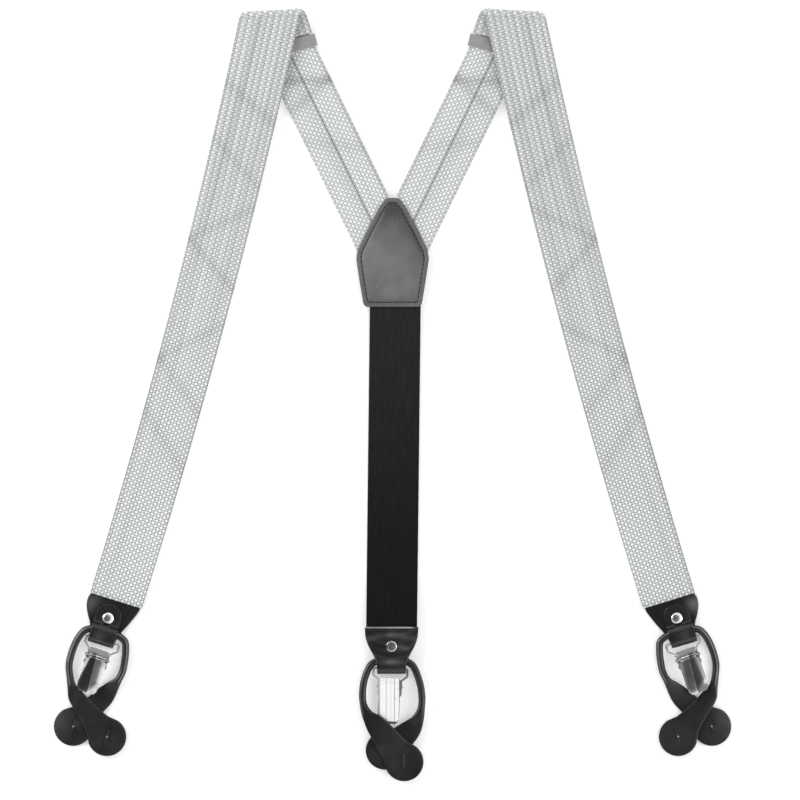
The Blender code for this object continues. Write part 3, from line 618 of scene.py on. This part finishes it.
def front_strap(prefix, side, look):
    """The front strap from the shoulder down to its fitting, crossing over the back ribbon."""
    fold_line = tilted(FOLD_TILT, side)
    count = 110
    step = FRONT_LENGTH / count
    point = mirrored(FOLD_CENTRE, side)
    stations = []
    for i in range(count + 1):
        distance = i * step
        share = distance / FRONT_LENGTH
        angle = FRONT_HEADING_TOP + (FRONT_HEADING_END - FRONT_HEADING_TOP) * share
        down = heading_vector(angle, side)
        if i:
            point = point + down * step
        square = UP.cross(down)
        blend = min(1.0, distance / FRONT_TWIST)
        across = (fold_line * (1 - blend) + square * blend).normalized()
        width = FRONT_WIDTH_TOP + (FRONT_WIDTH_END - FRONT_WIDTH_TOP) * share
        where = point if i else point + down * FOLD_GAP
        centre = Vector((where.x, where.y, between(max(distance, FOLD_GAP), FRONT_HEIGHTS)))
        half_width = width / 2 / across.dot(square)
        stations.append((centre, across, UP, half_width, RIBBON_THICK / 2, distance, square))
    relief = crease_relief(FRONT_CREASES, 3.0, side)
    ribbon = strap(prefix + "_front_strap", stations, look, 24, relief)
    hidden = (prefix + "_front_ribbon_sleeve", prefix + "_front_ribbon_core")
    settle(ribbon, prefix + "_front_strap", "patterned_fabric", *hidden)


def shoulder_fold(prefix, side, look):
    """The rolled turn at the shoulder, between the adjuster and the front strap; it follows no body."""
    fold_line = tilted(FOLD_TILT, side)
    outward = UP.cross(fold_line)
    front = mirrored(FOLD_CENTRE, side)
    flap = mirrored(FLAP_TOP, side)
    half_width = FRONT_WIDTH_TOP / 2 / math.cos(FRONT_HEADING_TOP + FOLD_TILT)
    square = UP.cross(heading_vector(FRONT_HEADING_TOP, side))
    turns = 18
    stations = []
    for i in range(-1, turns + 2):
        t = min(max(i / turns, 0.0), 1.0)
        angle = math.pi * t
        base = flap.lerp(front, t)
        base.z = FOLD_CENTRE.z - FOLD_RADIUS * math.cos(angle)
        push = FOLD_RADIUS * math.sin(angle)
        beyond = (i > turns) - (i < 0)
        if beyond:
            push = -FOLD_TUCK
        v = math.pi * FOLD_RADIUS * (t - 1.0) - FOLD_V_SHIFT + beyond * FOLD_TUCK
        normal = UP * math.cos(angle) - outward * math.sin(angle)
        half = half_width - FOLD_NARROWING * math.sin(angle) ** 2
        centre = base + outward * push
        stations.append((centre, fold_line, normal, half, RIBBON_THICK / 2, v, square))
    turn = strap(prefix + "_shoulder_turn", stations, look, 24, seam_up=True)
    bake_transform(turn)
    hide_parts(prefix + "_shoulder_fold")


def adjuster_flap(prefix, side, look):
    """The end of the front strap behind the shoulder, sewn to the adjuster."""
    down = heading_vector(-FLAP_HEADING, side)
    square = UP.cross(down)
    top = mirrored(FLAP_TOP, side)
    count = 8
    stations = []
    for i in range(count + 1):
        share = i / count
        distance = FLAP_GAP + (FLAP_LENGTH - FLAP_GAP) * share
        line = tilted(FOLD_TILT, side) * (1 - share) + tilted(SLIDE_TILT, side) * share
        across = line.normalized()
        half_width = FRONT_WIDTH_TOP / 2 / across.dot(square)
        centre = top + down * distance
        stations.append((centre, across, UP, half_width, RIBBON_THICK / 2, distance, square))
    relief = crease_relief([], 5.0, side, True)
    flap = strap(prefix + "_flap", stations, look, 24, relief, seam_up=True)
    settle(flap, prefix + "_adjuster", "patterned_fabric", prefix + "_adjuster_flap")


def back_ribbon(prefix, side, look):
    """The back ribbon, inner side up, with the seam down its middle."""
    down = heading_vector(-BACK_HEADING, side)
    start = mirrored(BACK_POINT, side) - down * BACK_TAIL
    across = UP.cross(down)
    slant = tilted(MITRE_ANGLE, side)
    count = 54
    stations = []
    for i in range(count + 1):
        distance = BACK_LENGTH * i / count
        turn = smoothstep((distance - (BACK_LENGTH - MITRE_RUN)) / MITRE_RUN)
        facing = (across * (1 - turn) + slant * turn).normalized()
        half_width = BACK_WIDTH / 2 / facing.dot(across)
        centre = start + down * distance
        along = BACK_START + distance
        stations.append((centre, facing, UP, half_width, RIBBON_THICK / 2, along, across))
    relief = crease_relief(BACK_CREASES, 11.0, side, True)
    ribbon = strap(prefix + "_back_ribbon", stations, look, 26, relief, seam_up=True)
    hidden = (prefix + "_back_ribbon_sleeve", prefix + "_back_ribbon_core")
    settle(ribbon, "root", "patterned_fabric", *hidden)


def fitting_frame(prefix):
    """Where a fitting sits: its origin is the end of the strap, and its -Y axis points on down."""
    side, rear, spot, turn, _ = FITTINGS[prefix]
    if rear:
        return Matrix.Translation(spot + UP * FIT_HEIGHT) @ Matrix.Rotation(math.pi, 4, "Y")
    return Matrix.Translation(spot) @ Matrix.Rotation(-side * turn, 4, "Z")


def oval(half_width, half_thick):
    """A section that goes from a round cord to a thin rounded sheet."""
    count = 36
    flatness = min(1.0, max(0.0, (half_width / half_thick - 1) / 4))
    power = 2 / (2 + 3.5 * flatness)
    points = []
    for k in range(count):
        angle = 2 * math.pi * k / count
        c, s = math.cos(angle), math.sin(angle)
        x = half_width * math.copysign(abs(c) ** power, c)
        z = half_thick * math.copysign(abs(s) ** power, s)
        points.append((x, z))
    return points


def cut(piece, cutter):
    """Takes one shape out of another and removes the cutter."""
    modifier = piece.modifiers.new("cut", "BOOLEAN")
    modifier.operation = "DIFFERENCE"
    modifier.solver = "EXACT"
    modifier.object = cutter
    bpy.context.view_layer.update()
    shape = bpy.data.meshes.new_from_object(piece.evaluated_get(bpy.context.evaluated_depsgraph_get()))
    piece.modifiers.remove(modifier)
    shape.set_sharp_from_angle(angle=math.radians(40))
    piece.data = shape
    bpy.data.objects.remove(cutter)


def rod_cutter(frame_matrix, x, down, low, high, radius):
    """A round cutter through a sheet of leather, from a low to a high place."""
    bm = bmesh.new()
    middle = frame_matrix @ Vector((x, -down, (low + high) / 2))
    bmesh.ops.create_cone(
        bm,
        cap_ends=True,
        segments=32,
        radius1=radius * MM,
        radius2=radius * MM,
        depth=(high - low) * MM,
        matrix=Matrix.Translation(place(middle)),
    )
    return mesh_object("cutter", bm)


def slit_cutter(frame_matrix, x, down, z):
    """A thin blade the size of a closed-up buttonhole."""
    bm = bmesh.new()
    bmesh.ops.create_cube(bm, size=1.0)
    size = Matrix.Diagonal((SLIT_WIDTH * MM, SLIT_LENGTH * MM, 2 * CUT_REACH * MM, 1.0))
    turn = frame_matrix.to_3x3().to_4x4()
    middle = place(frame_matrix @ Vector((x, -down, z)))
    bmesh.ops.transform(bm, matrix=Matrix.Translation(middle) @ turn @ size, verts=bm.verts)
    return mesh_object("cutter", bm)


# the yoke patch: the right half of its outline, from the neck down to the foot
PATCH_RIGHT = [(3.8, 134.8), (8.6, 129.3), (16.4, 114.5), (24.2, 98.4)]
PATCH_RIGHT += [(25.0, 93.0), (22.6, 77.0), (20.1, 62.0), (18.2, 60.0)]
PATCH_MIDDLE = Vector((0.0, 93.0, 0.0))
STITCH_INSET = 3.2
STITCH_LENGTH = 1.9
STITCH_GAP = 1.3
STITCH_RADIUS = 0.36
INNER_SEAM_Z = 4.42
OUTER_SEAM_Z = 0.2
BORDER = STITCH_INSET + 0.4


def patch_outline():
    """The patch's edge as evenly spaced points with their outward directions."""
    corners = [Vector((x, y, 0)) for x, y in PATCH_RIGHT]
    corners += [Vector((-x, y, 0)) for x, y in reversed(PATCH_RIGHT)]
    dense = []
    for first, second in zip(corners, corners[1:] + corners[:1]):
        count = max(1, round((second - first).length))
        dense += [first.lerp(second, k / count) for k in range(count)]
    for _ in range(2):
        total = len(dense)
        dense = [(dense[i - 1] + dense[i] * 4 + dense[(i + 1) % total]) / 6 for i in range(total)]
    edge = []
    for i, point in enumerate(dense):
        along = dense[(i + 1) % len(dense)] - dense[i - 1]
        edge.append((point, UP.cross(along).normalized()))
    return edge


def patch_tone(spot, inset, share):
    """How light the patch is: a mottled rolled border with painted shade in its stitched groove and a
    darker outer rim, a middle made paler by a painted highlight, and painted shade inside the
    stitching towards the top and the upper right.
    """
    if inset <= BORDER:
        # painted shade in the stitched groove; the border is also darker along its outer rim
        hole = hump(inset, STITCH_INSET, 0.4)
        rim = hump(inset, 0.0, 0.35)
        mottle = 0.12 * ripple(spot.x * 0.5, spot.y * 0.5, 1.0)
        return 0.92 + mottle - 0.55 * hole - 0.5 * rim
    # the paler middle is a painted highlight, weaker towards the right
    worn = smoothstep((130 - spot.y) / 30)
    side_fade = 1 - 0.15 * smoothstep((spot.x - 4) / 14)
    inside = inset - STITCH_INSET + share * 18
    # painted shade inside the stitching, strongest towards the top and the upper right
    upper_right = smoothstep((spot.x + 2) / 8) * smoothstep((spot.y - 84) / 18)
    top = smoothstep((spot.y - 112) / 14)
    shade = 0.45 + 0.35 * max(upper_right, top)
    reach = 2.0 + 2.4 * max(upper_right, top)
    cloud = 0.06 * ripple(spot.x * 0.12, spot.y * 0.1, 6.0)
    return (0.66 + 0.5 * worn * side_fade + cloud) * (1 - shade * math.exp(-inside / reach))


def patch_ring(edge, inset, share, height, padded):
    """A ring of the patch: first inset by a distance, then drawn in towards the middle by a share."""
    ring = []
    for point, outward in edge:
        spot = (point - outward * inset).lerp(PATCH_MIDDLE, share)
        lift = 0.0
        if padded and inset > BORDER:
            lift = 0.2 * ripple(spot.x * 0.09, spot.y * 0.07, 2.0)
        tone = patch_tone(spot, inset, share)
        ring.append((Vector((spot.x, spot.y, height + lift)), spot.x, spot.y, tone))
    return ring


# rings of the patch: (inset, height) over the edge and the stitched groove, then
# (share towards the middle, height) over the dome or the flat middle
INNER_EDGE = [(0.5, 3.6), (0.12, 3.75), (0, 4.1), (0.15, 4.5), (0.5, 4.75), (1.0, 4.9)]
INNER_EDGE += [(1.8, 4.95), (2.5, 4.8), (2.9, 4.5), (3.2, 4.25), (3.5, 4.5), (3.8, 4.8)]
INNER_DOME = [(0.03, 5.2), (0.07, 5.6), (0.12, 6.0), (0.18, 6.3), (0.26, 6.55)]
INNER_DOME += [(0.36, 6.7), (0.48, 6.8), (0.62, 6.85), (0.8, 6.87), (0.97, 6.88)]
OUTER_EDGE = [(0.4, 1.2), (0.08, 1.1), (0, 0.8), (0, 0.4), (0.1, 0.12), (0.5, 0.0)]
OUTER_EDGE += [(2.5, 0.0), (2.9, 0.12), (3.2, 0.3), (3.5, 0.12)]
OUTER_MIDDLE = [(0.01, 0.0), (0.3, 0.0), (0.6, 0.0), (0.97, 0.0)]
MIDDLE_INSET = 3.8


def soften(piece, first):
    """Evens out the heights of the points after the first ones, so that no fold lines are left."""
    bm = bmesh.new()
    bm.from_mesh(piece.data)
    bm.verts.ensure_lookup_table()
    chosen = bm.verts[first:]
    for _ in range(30):
        bmesh.ops.smooth_vert(bm, verts=chosen, factor=0.5, use_axis_z=True)
    bm.to_mesh(piece.data)
    bm.free()


def patch_face(name, border, middle, look, node, padded):
    """One leather face of the patch, over the foam if it is padded."""
    edge = patch_outline()
    rings = [patch_ring(edge, inset, 0.0, height, padded) for inset, height in border]
    for share, height in middle:
        rings.append(patch_ring(edge, MIDDLE_INSET, share, height, padded))
    face = skin(name, rings, look)
    if padded:
        soften(face, len(edge) * len(border))
    settle(face, "root", "patch_leather", node)


def measured(points):
    """The distance travelled along a run of points, at each point."""
    travelled = [0.0]
    for first, second in zip(points, points[1:]):
        travelled.append(travelled[-1] + (second - first).length)
    return travelled


def one_stitch(bm, start, end, height):
    """A short bowed thread between two points of the seam."""
    along = (end - start).normalized()
    side = UP.cross(along)
    steps = 6
    corners = 8
    rings = []
    for k in range(steps + 1):
        bow = math.sin(math.pi * k / steps)
        centre = start.lerp(end, k / steps) + UP * (height + 0.22 * bow - 0.12)
        thick = STITCH_RADIUS * (0.45 + 0.55 * math.sqrt(bow))
        ring = []
        for j in range(corners):
            angle = 2 * math.pi * j / corners
            spot = centre + (side * math.cos(angle) + UP * math.sin(angle)) * thick
            ring.append(bm.verts.new(place(spot)))
        rings.append(ring)
    for first, second in zip(rings, rings[1:]):
        for j in range(corners):
            following = (j + 1) % corners
            bm.faces.new((first[j], first[following], second[following], second[j]))
    bm.faces.new(rings[0])
    bm.faces.new(rings[-1])


def stitches(name, path, look, height):
    """A line of thread stitches along a closed path of points."""
    closed = path + path[:1]
    marks = measured(closed)
    total = marks[-1]

    def at(distance):
        distance %= total
        for i in range(len(path)):
            if distance <= marks[i + 1]:
                return closed[i].lerp(closed[i + 1], (distance - marks[i]) / (marks[i + 1] - marks[i]))
        return closed[-1]

    bm = bmesh.new()
    count = round(total / (STITCH_LENGTH + STITCH_GAP))
    for n in range(count):
        middle = n * total / count
        one_stitch(bm, at(middle - STITCH_LENGTH / 2), at(middle + STITCH_LENGTH / 2), height)
    settle(add_piece(name, bm, look), "root", "patch_leather")


def elastic_strap(look):
    """The wide elastic, whose lower end rises to the rear fitting."""
    heights = [(0, BACK_Z), (30, BACK_Z), (60, 1.2), (205, 1.2), (240, FIT_HEIGHT - 3.2)]
    length = ELASTIC_TOP_Y - ELASTIC_END_Y
    count = 90
    stations = []
    for i in range(count + 1):
        run = length * i / count
        x = ELASTIC_TOP_X + (ELASTIC_END_X - ELASTIC_TOP_X) * run / length
        centre = Vector((x, ELASTIC_TOP_Y - run, between(run, heights)))
        stations.append((centre, Vector((1, 0, 0)), UP, ELASTIC_WIDTH / 2, RIBBON_THICK / 2, run))
    band = strap("elastic_band", stations, look, 24)
    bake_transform(band)
    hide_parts("elastic_strap")


def fill_tone(piece):
    """Brings every tone up to plain leather, also on the faces left by a cutter."""
    for item in piece.data.attributes["tone"].data:
        item.value = max(item.value, 1.0)


# the flared face of a leather tab: (down, half width, shift to the side), from its top to the fold
FRONT_FLARE = [(-12.0, 17.4, 0.0), (-0.8, 17.8, -0.3), (2.5, 18.1, -0.9), (7.5, 17.1, -1.7)]
FRONT_FLARE += [(13.7, 14.5, -1.7), (19.0, 11.6, -1.4), (23.5, 10.1, -1.5), (TURN_DOWN, 9.3, -1.6)]
REAR_FLARE = [(-0.5, 18.4, 0.0), (6.8, 17.9, 0.0), (13.0, 15.7, 0.0), (18.8, 12.6, 0.0)]
REAR_FLARE += [(23.4, 10.7, 0.0), (TURN_DOWN, 9.9, 0.0)]
FRONT_TONGUE_SHIFT = -1.8
FRONT_RIVET_SHIFT = -1.7


def tab_path(rear):
    """Rows of the leather strip as (down, height, half width, shift): flare, fold and tongue."""
    tongue_z = LEATHER_LOW_Z + LEATHER_THICK + 0.3
    high_z = LEATHER_LOW_Z + 2 * TURN_RADIUS
    shift = 0.0 if rear else FRONT_TONGUE_SHIFT
    half_turn = 9.9 if rear else 9.2
    flare = REAR_FLARE if rear else FRONT_FLARE
    path = smooth([(down, LEATHER_LOW_Z, half, x) for down, half, x in flare], 4)
    turns = 12
    for k in range(1, turns + 1):
        angle = math.pi * k / turns
        turn_down = TURN_DOWN + TURN_RADIUS * math.sin(angle)
        turn_z = CORD_Z - TURN_RADIUS * math.cos(angle)
        path.append((turn_down, turn_z, half_turn, shift))
    hug = TURN_RADIUS + 0.1
    path.append((25.0, high_z, (half_turn + TONGUE_HALF) / 2, shift))
    path.append((CORD_DOWN, high_z, TONGUE_HALF, shift))
    for degrees in (110, 130, 150, 165):
        angle = math.radians(degrees)
        turn_down = CORD_DOWN + hug * math.cos(angle)
        path.append((turn_down, CORD_Z + hug * math.sin(angle), TONGUE_HALF, shift))
    for down, lift in ((18.6, 1.9), (18.0, 0.95), (17.2, 0.3), (16.4, 0.03)):
        path.append((down, tongue_z + lift, TONGUE_HALF, shift))
    tongue_end = 7.6 if rear else 2.7
    for run in (9.0, 7.5, 6.0, 4.7, 3.5, 2.5, 1.7, 1.1, 0.6, 0.3, 0.1):
        half = math.sqrt(TONGUE_HALF**2 - (TONGUE_HALF - run) ** 2)
        path.append((tongue_end + run, tongue_z, half, shift))
    return path


def sheen(x, v, rear):
    """How much lighter the bent leather of a tab is painted: painted highlights in bands across the
    rear one, with a thin painted highlight along its top edge, and a patch and a small bend on the
    others."""
    if not rear:
        glow = 13.0 * hump(x, -14.5, 4.5) * hump(v, 18.0, 6.0)
        bend = 4.0 * hump(x, -3.0, 3.5) * hump(v, 52.0, 4.0)
        return 1.0 + glow + bend
    bow = v - 0.012 * x * x
    streak = 0.6 + 0.4 * ripple(x * 0.2, v * 0.1, 3.0)
    upper = 7.0 * streak * hump(bow, 5.5, 1.5)
    middle = 5.0 * hump(bow, 13.5, 1.2) * hump(x, -7.0, 5.0)
    lower = 6.0 * hump(v, 24.0, 1.7) * hump(x, 0.0, 7.5)
    # a thin painted highlight along the rear tab's top edge
    edge = 60.0 * hump(v, 0.0, 0.35) * smoothstep((x + 17.0) / 4.0)
    return 1.0 + 1.6 * (upper + middle + lower) + edge


def tab_relief(side, rear):
    """A pressed line inside the edge of the leather, soft bends across the flare, and its sheen."""

    def relief(x, v, below, half_width):
        lift = 0.3 * ripple(x * 0.1, v * 0.09, 4.0 if rear else 9.0)
        if not below:
            lift -= 0.16 * hump(half_width - abs(x), 1.5, 0.35)
            if rear and v < 24:
                lift += 0.4 * math.sin((v - 1.5 + 0.02 * x * x) * 0.62)
        return lift, sheen(x * side, v, rear)

    return relief


def leather_tab(prefix, look):
    """The strip of leather that holds a fitting, with the hole for its rivet."""
    side, rear, _, _, host = FITTINGS[prefix]
    frame_matrix = fitting_frame(prefix)
    path = tab_path(rear)
    centres = [Vector((shift * side, -down, z)) for down, z, _, shift in path]
    travelled = measured(centres)
    across = Vector((1, 0, 0))
    stations = []
    for i, centre in enumerate(centres):
        along = centres[min(i + 1, len(centres) - 1)] - centres[max(i - 1, 0)]
        along = Vector((0, along.y, along.z)).normalized()
        half = path[i][2]
        stations.append((centre, across, across.cross(along), half, LEATHER_THICK / 2, travelled[i]))
    relief = tab_relief(side, rear)
    tab = strap(prefix + "_tab", stations, look, 28, relief, frame_matrix=frame_matrix)
    rivet_x = 0.0 if rear else FRONT_RIVET_SHIFT * side
    top = LEATHER_LOW_Z + LEATHER_THICK + 2.5
    cut(tab, rod_cutter(frame_matrix, rivet_x, RIVET_DOWN, -2.0, top, RIVET_HOLE_RADIUS))
    fill_tone(tab)
    settle(tab, host, "black_leather", prefix + "_leather_tab")


def cord(*points):
    """Rows of the round part of a strand, from its points."""
    return [(*point, CORD_RADIUS, CORD_RADIUS) for point in points]


# the strands of a loop, from the fold outwards: the round cord as (across, down, height), then the
# flattened leather as (across, down, height, half width, half thickness)
FRONT_UPPER = cord((-9.0, 22.4, 5.0), (-14.4, 25.0, 4.7), (-17.6, 32.0, 3.6))
FRONT_UPPER += cord((-18.8, 41.0, 2.75), (-18.3, 50.5, 2.75))
FRONT_UPPER += [
    (-15.2, 58.8, 2.75, 2.5, 2.45),
    (-12.0, 65.0, 2.9, 3.2, 1.8),
    (-7.9, 70.0, 3.2, 5.4, 1.1),
    (-1.8, 74.8, 3.3, 6.3, 0.9),
    (5.6, 80.0, 3.3, 7.4, 0.9),
    (12.2, 84.6, 3.3, 9.2, 0.9),
]
FRONT_LOWER = cord((9.0, 22.4, 5.0), (14.0, 25.0, 4.7), (16.4, 31.5, 3.8))
FRONT_LOWER += cord((17.6, 38.0, 3.1), (18.2, 45.0, 2.75))
FRONT_LOWER += [
    (17.0, 51.5, 2.6, 2.7, 2.4),
    (14.2, 58.0, 1.9, 5.0, 1.4),
    (11.0, 65.0, 1.1, 6.9, 0.9),
    (6.5, 73.0, 1.1, 7.4, 0.9),
    (2.0, 80.5, 1.1, 8.6, 0.9),
]
REAR_UPPER = cord((-9.0, 22.4, 4.8), (-14.6, 26.0, 4.8), (-18.6, 35.5, 4.8), (-19.9, 45.0, 4.9))
REAR_UPPER += [
    (-19.2, 53.0, 5.3, 2.6, 2.4),
    (-16.6, 59.5, 6.8, 4.0, 1.6),
    (-12.4, 64.8, 7.8, 6.4, 0.9),
    (-7.6, 70.8, 7.8, 7.9, 0.9),
    (-1.7, 78.4, 7.2, 9.0, 0.9),
    (3.0, 84.6, 6.3, 10.2, 0.9),
]
REAR_LOWER = cord((9.0, 22.4, 4.8), (14.8, 26.4, 4.8), (19.0, 36.5, 4.8), (20.8, 46.5, 4.9))
REAR_LOWER += [
    (20.4, 55.0, 4.9, 2.6, 2.4),
    (18.2, 62.3, 4.6, 4.2, 1.7),
    (14.2, 68.6, 4.0, 6.8, 1.0),
    (8.6, 74.2, 3.8, 8.4, 0.9),
    (3.6, 78.0, 3.8, 9.4, 0.9),
]
# for each fitting, its two strands, each with the centre of the round tab that it ends in
LOOPS = {
    "front": [(FRONT_UPPER, (20.8, 90.8, 3.3)), (FRONT_LOWER, (-3.3, 90.7, 1.1))],
    "rear": [(REAR_UPPER, (8.6, 92.0, 6.0)), (REAR_LOWER, (-4.4, 84.1, 3.8))],
}


def half_loop(strand):
    """Stations of one strand, from the fold to the end of its round tab."""
    rows, (x, down, z) = strand
    points = smooth(rows, 8)
    centre = Vector((x, down))
    run = (centre - Vector(rows[-1][:2])).normalized()
    for offset in (-4, -2, 0, 2, 4, 6, 7.5, 9, 10.5, 11.5, 12.3, 12.8, 13.1, 13.3, 13.39):
        spot = centre + run * offset
        half = math.sqrt(TAB_RADIUS**2 - offset**2)
        points.append((spot.x, spot.y, z, half, min(TAB_HALF_THICK, half)))
    return points


def loop_tone(x, down, half, across, height, rear):
    """How light a loop is: a thin line of light along the cord and a soft sheen on the tabs."""
    cloud = 1.6 * max(0.0, ripple(x * 0.12, down * 0.1, 8.0 if rear else 1.0))
    if half < 3.0:
        line = hump(across, 0.9, 0.32) if height > 0 else 0.0
        return 0.9 + 0.5 * cloud + (3.0 if rear else 22.0) * line
    if rear:
        return 1.0 + cloud
    rim = smoothstep((-x - 2.0) / 13.0) * smoothstep((down - 72.0) / 8.0)
    return 1.6 + cloud + 3.2 * rim


def button_loop(prefix, look):
    """A rolled leather loop that crosses over and ends in two button tabs with closed-up slits."""
    side, rear, _, _, _ = FITTINGS[prefix]
    upper, lower = LOOPS["rear" if rear else "front"]
    frame_matrix = fitting_frame(prefix)
    first, second = upper[0], lower[0]
    fold = (0.0, CORD_DOWN, first[0][2], CORD_RADIUS, CORD_RADIUS)
    steps = 5
    over_fold = smooth([first[1], first[0], fold, second[0], second[1]], steps)
    joined = half_loop(upper)[::-1] + over_fold[steps + 1 : 3 * steps] + half_loop(lower)
    flip = -1 if rear else side
    centres = []
    for x, down, z, _, _ in joined:
        centres.append(Vector((x * flip, -down, FIT_HEIGHT - z if rear else z)))
    travelled = measured(centres)
    rings = []
    for i, centre in enumerate(centres):
        along = centres[min(i + 1, len(centres) - 1)] - centres[max(i - 1, 0)]
        across = UP.cross(Vector((along.x, along.y, 0))).normalized()
        ring = []
        for x, z in oval(joined[i][3], joined[i][4]):
            spot = centre + across * x + UP * z
            bend = 0.3 * ripple(spot.x * 0.06, spot.y * 0.06, 2.5)
            tone = loop_tone(spot.x * flip, -spot.y, joined[i][3], x * flip, z, rear)
            ring.append((frame_matrix @ (spot + UP * bend), x, travelled[i], tone))
        rings.append(ring)
    loop = skin(prefix + "_loop", rings, look)
    for _, (x, down, z) in (upper, lower):
        z = FIT_HEIGHT - z if rear else z
        cut(loop, slit_cutter(frame_matrix, x * flip, down, z))
        if not rear:
            low, high = z - CUT_REACH, z + CUT_REACH
            cut(loop, rod_cutter(frame_matrix, x * flip, down, low, high, PINHOLE_RADIUS))
    fill_tone(loop)
    settle(loop, prefix + "_loop", "black_leather", prefix + "_button_loop")


def dress_node(name, look, edge=0.12):
    """Gives a CAD node its finish, with soft broken edges that catch the light."""
    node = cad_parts[name]
    node.data.materials.clear()
    node.data.materials.append(look)
    for polygon in node.data.polygons:
        polygon.use_smooth = True
    weld = node.modifiers.new("weld", "WELD")
    weld.merge_threshold = 0.002 * MM
    bevel = node.modifiers.new("edges", "BEVEL")
    bevel.width = edge * MM
    bevel.segments = 2
    bevel.limit_method = "ANGLE"
    bevel.angle_limit = math.radians(28)
    bevel.harden_normals = True
    node.modifiers.new("shading", "WEIGHTED_NORMAL")


def metal_parts():
    """The metal and rubber of the adjusters and fittings, and the foam, which keep their CAD shapes."""
    polished = metal_look("polished_metal", (0.86, 0.86, 0.85, 1), 0.16, 0.35)
    worn = metal_look("lever_metal", (0.60, 0.60, 0.59, 1), 0.16, 0.35)
    satin = metal_look("satin_metal", (0.50, 0.50, 0.485, 1), 0.5, 0.5)
    bright = metal_look("bright_metal", grey(0.95), 0.3, 0.3, 0.95)
    plate = plate_look("rear_clip_frame")
    rubber = rubber_look()
    for prefix in ("left", "right"):
        dress_node(prefix + "_adjuster_frame", satin, 0.15)
        dress_node(prefix + "_adjuster_lever", satin, 0.15)
        dress_node(prefix + "_adjuster_pin", polished, edge=0.05)
    for prefix, (side, rear, _, _, _) in FITTINGS.items():
        for piece in ("rivet_cap", "rivet_tube", "clip_pin"):
            dress_node(prefix + "_" + piece, polished, edge=0.05)
        dress_node(prefix + "_clip_jaw", worn)
        dress_node(prefix + "_clip_lever", worn if rear else lever_look(prefix, side))
        dress_node(prefix + "_clip_frame", plate if rear else bright)
        dress_node(prefix + "_clip_pad", rubber, 0.1)
    dress_node("y_patch_pad", foam_look(), 0.1)


def build_pieces():
    fabric = fabric_look()
    black = (0.010, 0.010, 0.0102, 1)
    leather = leather_look("black_leather", grey(0.005), black, roughness=0.33, gloss=0.15)
    patch = leather_look("patch_leather", grey(0.108), grey(0.135), roughness=0.5, gloss=0.1)
    thread = thread_look()
    for prefix, side in (("left", 1), ("right", -1)):
        front_strap(prefix, side, fabric)
        shoulder_fold(prefix, side, fabric)
        adjuster_flap(prefix, side, fabric)
        back_ribbon(prefix, side, fabric)
    patch_face("y_patch_cover", INNER_EDGE, INNER_DOME, patch, "y_patch_inner", True)
    patch_face("y_patch_face", OUTER_EDGE, OUTER_MIDDLE, patch, "y_patch_outer", False)
    seam = [point - outward * STITCH_INSET for point, outward in patch_outline()]
    stitches("y_patch_stitching", seam, thread, INNER_SEAM_Z)
    stitches("y_patch_outer_stitching", seam, thread, OUTER_SEAM_Z)
    elastic_strap(elastic_look())
    for prefix in FITTINGS:
        leather_tab(prefix, leather)
        button_loop(prefix, leather)
    metal_parts()


def floor():
    """A plain white floor, a little below the lowest face, that glows faintly."""
    bm = bmesh.new()
    bmesh.ops.create_grid(bm, x_segments=1, y_segments=1, size=4.0)
    ground = mesh_object("floor", bm)
    ground.location.z = -FLOOR_DROP * MM
    look = Look("floor_white")
    colour = look.mix(look.noise(look.coords("Object"), 3.0, 2.0), grey(0.92), grey(0.93))
    look.set(Base_Color=colour, Roughness=0.9, Specular_IOR_Level=0.0)
    white = look.set(Emission_Color=grey(1.0), Emission_Strength=FLOOR_GLOW)
    ground.data.materials.append(white)


def surroundings():
    """An even bright room with a dim patch nearly overhead, so that flat dark faces stay dark.
    The camera itself sees plain white."""
    world = bpy.data.worlds.new("studio")
    bpy.context.scene.world = world
    world.use_nodes = True
    add = world.node_tree.nodes.new
    link = world.node_tree.links.new
    background = world.node_tree.nodes["Background"]
    background.inputs["Strength"].default_value = WORLD_STRENGTH
    height = add("ShaderNodeVectorMath")
    height.operation = "DOT_PRODUCT"
    height.inputs[1].default_value = DIM_DIRECTION
    link(add("ShaderNodeTexCoord").outputs["Generated"], height.inputs[0])
    ramp = add("ShaderNodeValToRGB")
    ramp.color_ramp.interpolation = "EASE"
    elements = ramp.color_ramp.elements
    while len(elements) < len(ROOM_LIGHT):
        elements.new(0.5)
    for element, (position, value) in zip(elements, ROOM_LIGHT):
        element.position = position
        element.color = grey(value)
    link(height.outputs["Value"], ramp.inputs[0])
    seen = add("ShaderNodeMix")
    seen.data_type = "RGBA"
    seen.inputs[7].default_value = grey(1.0)
    link(add("ShaderNodeLightPath").outputs["Is Camera Ray"], seen.inputs[0])
    link(ramp.outputs[0], seen.inputs[6])
    link(seen.outputs[2], background.inputs["Color"])


def area_light(name, spot, size, power):
    """A soft light in metres and watts, aimed at the middle of the object."""
    data = bpy.data.lights.new(name, "AREA")
    data.shape = "RECTANGLE"
    data.size, data.size_y = size
    data.energy = power
    lamp = add_object(name, data)
    lamp.location = spot
    lamp.rotation_euler = (-Vector(spot)).to_track_quat("-Z", "Y").to_euler()


def camera():
    """A flat view from straight above."""
    data = bpy.data.cameras.new("camera")
    data.type = "ORTHO"
    data.ortho_scale = VIEW_WIDTH * MM
    data.clip_end = 20.0
    eye = add_object("camera", data)
    eye.location = place((*VIEW_CENTRE, EYE_HEIGHT))
    bpy.context.scene.camera = eye
    bpy.context.scene.view_settings.view_transform = "Standard"


build_pieces()
floor()
surroundings()
area_light("key_left", (-1.3, 0.5, 0.75), (0.7, 0.9), 12.0)
area_light("fill_right", (1.2, -0.2, 0.7), (0.3, 1.2), 3.0)
camera()

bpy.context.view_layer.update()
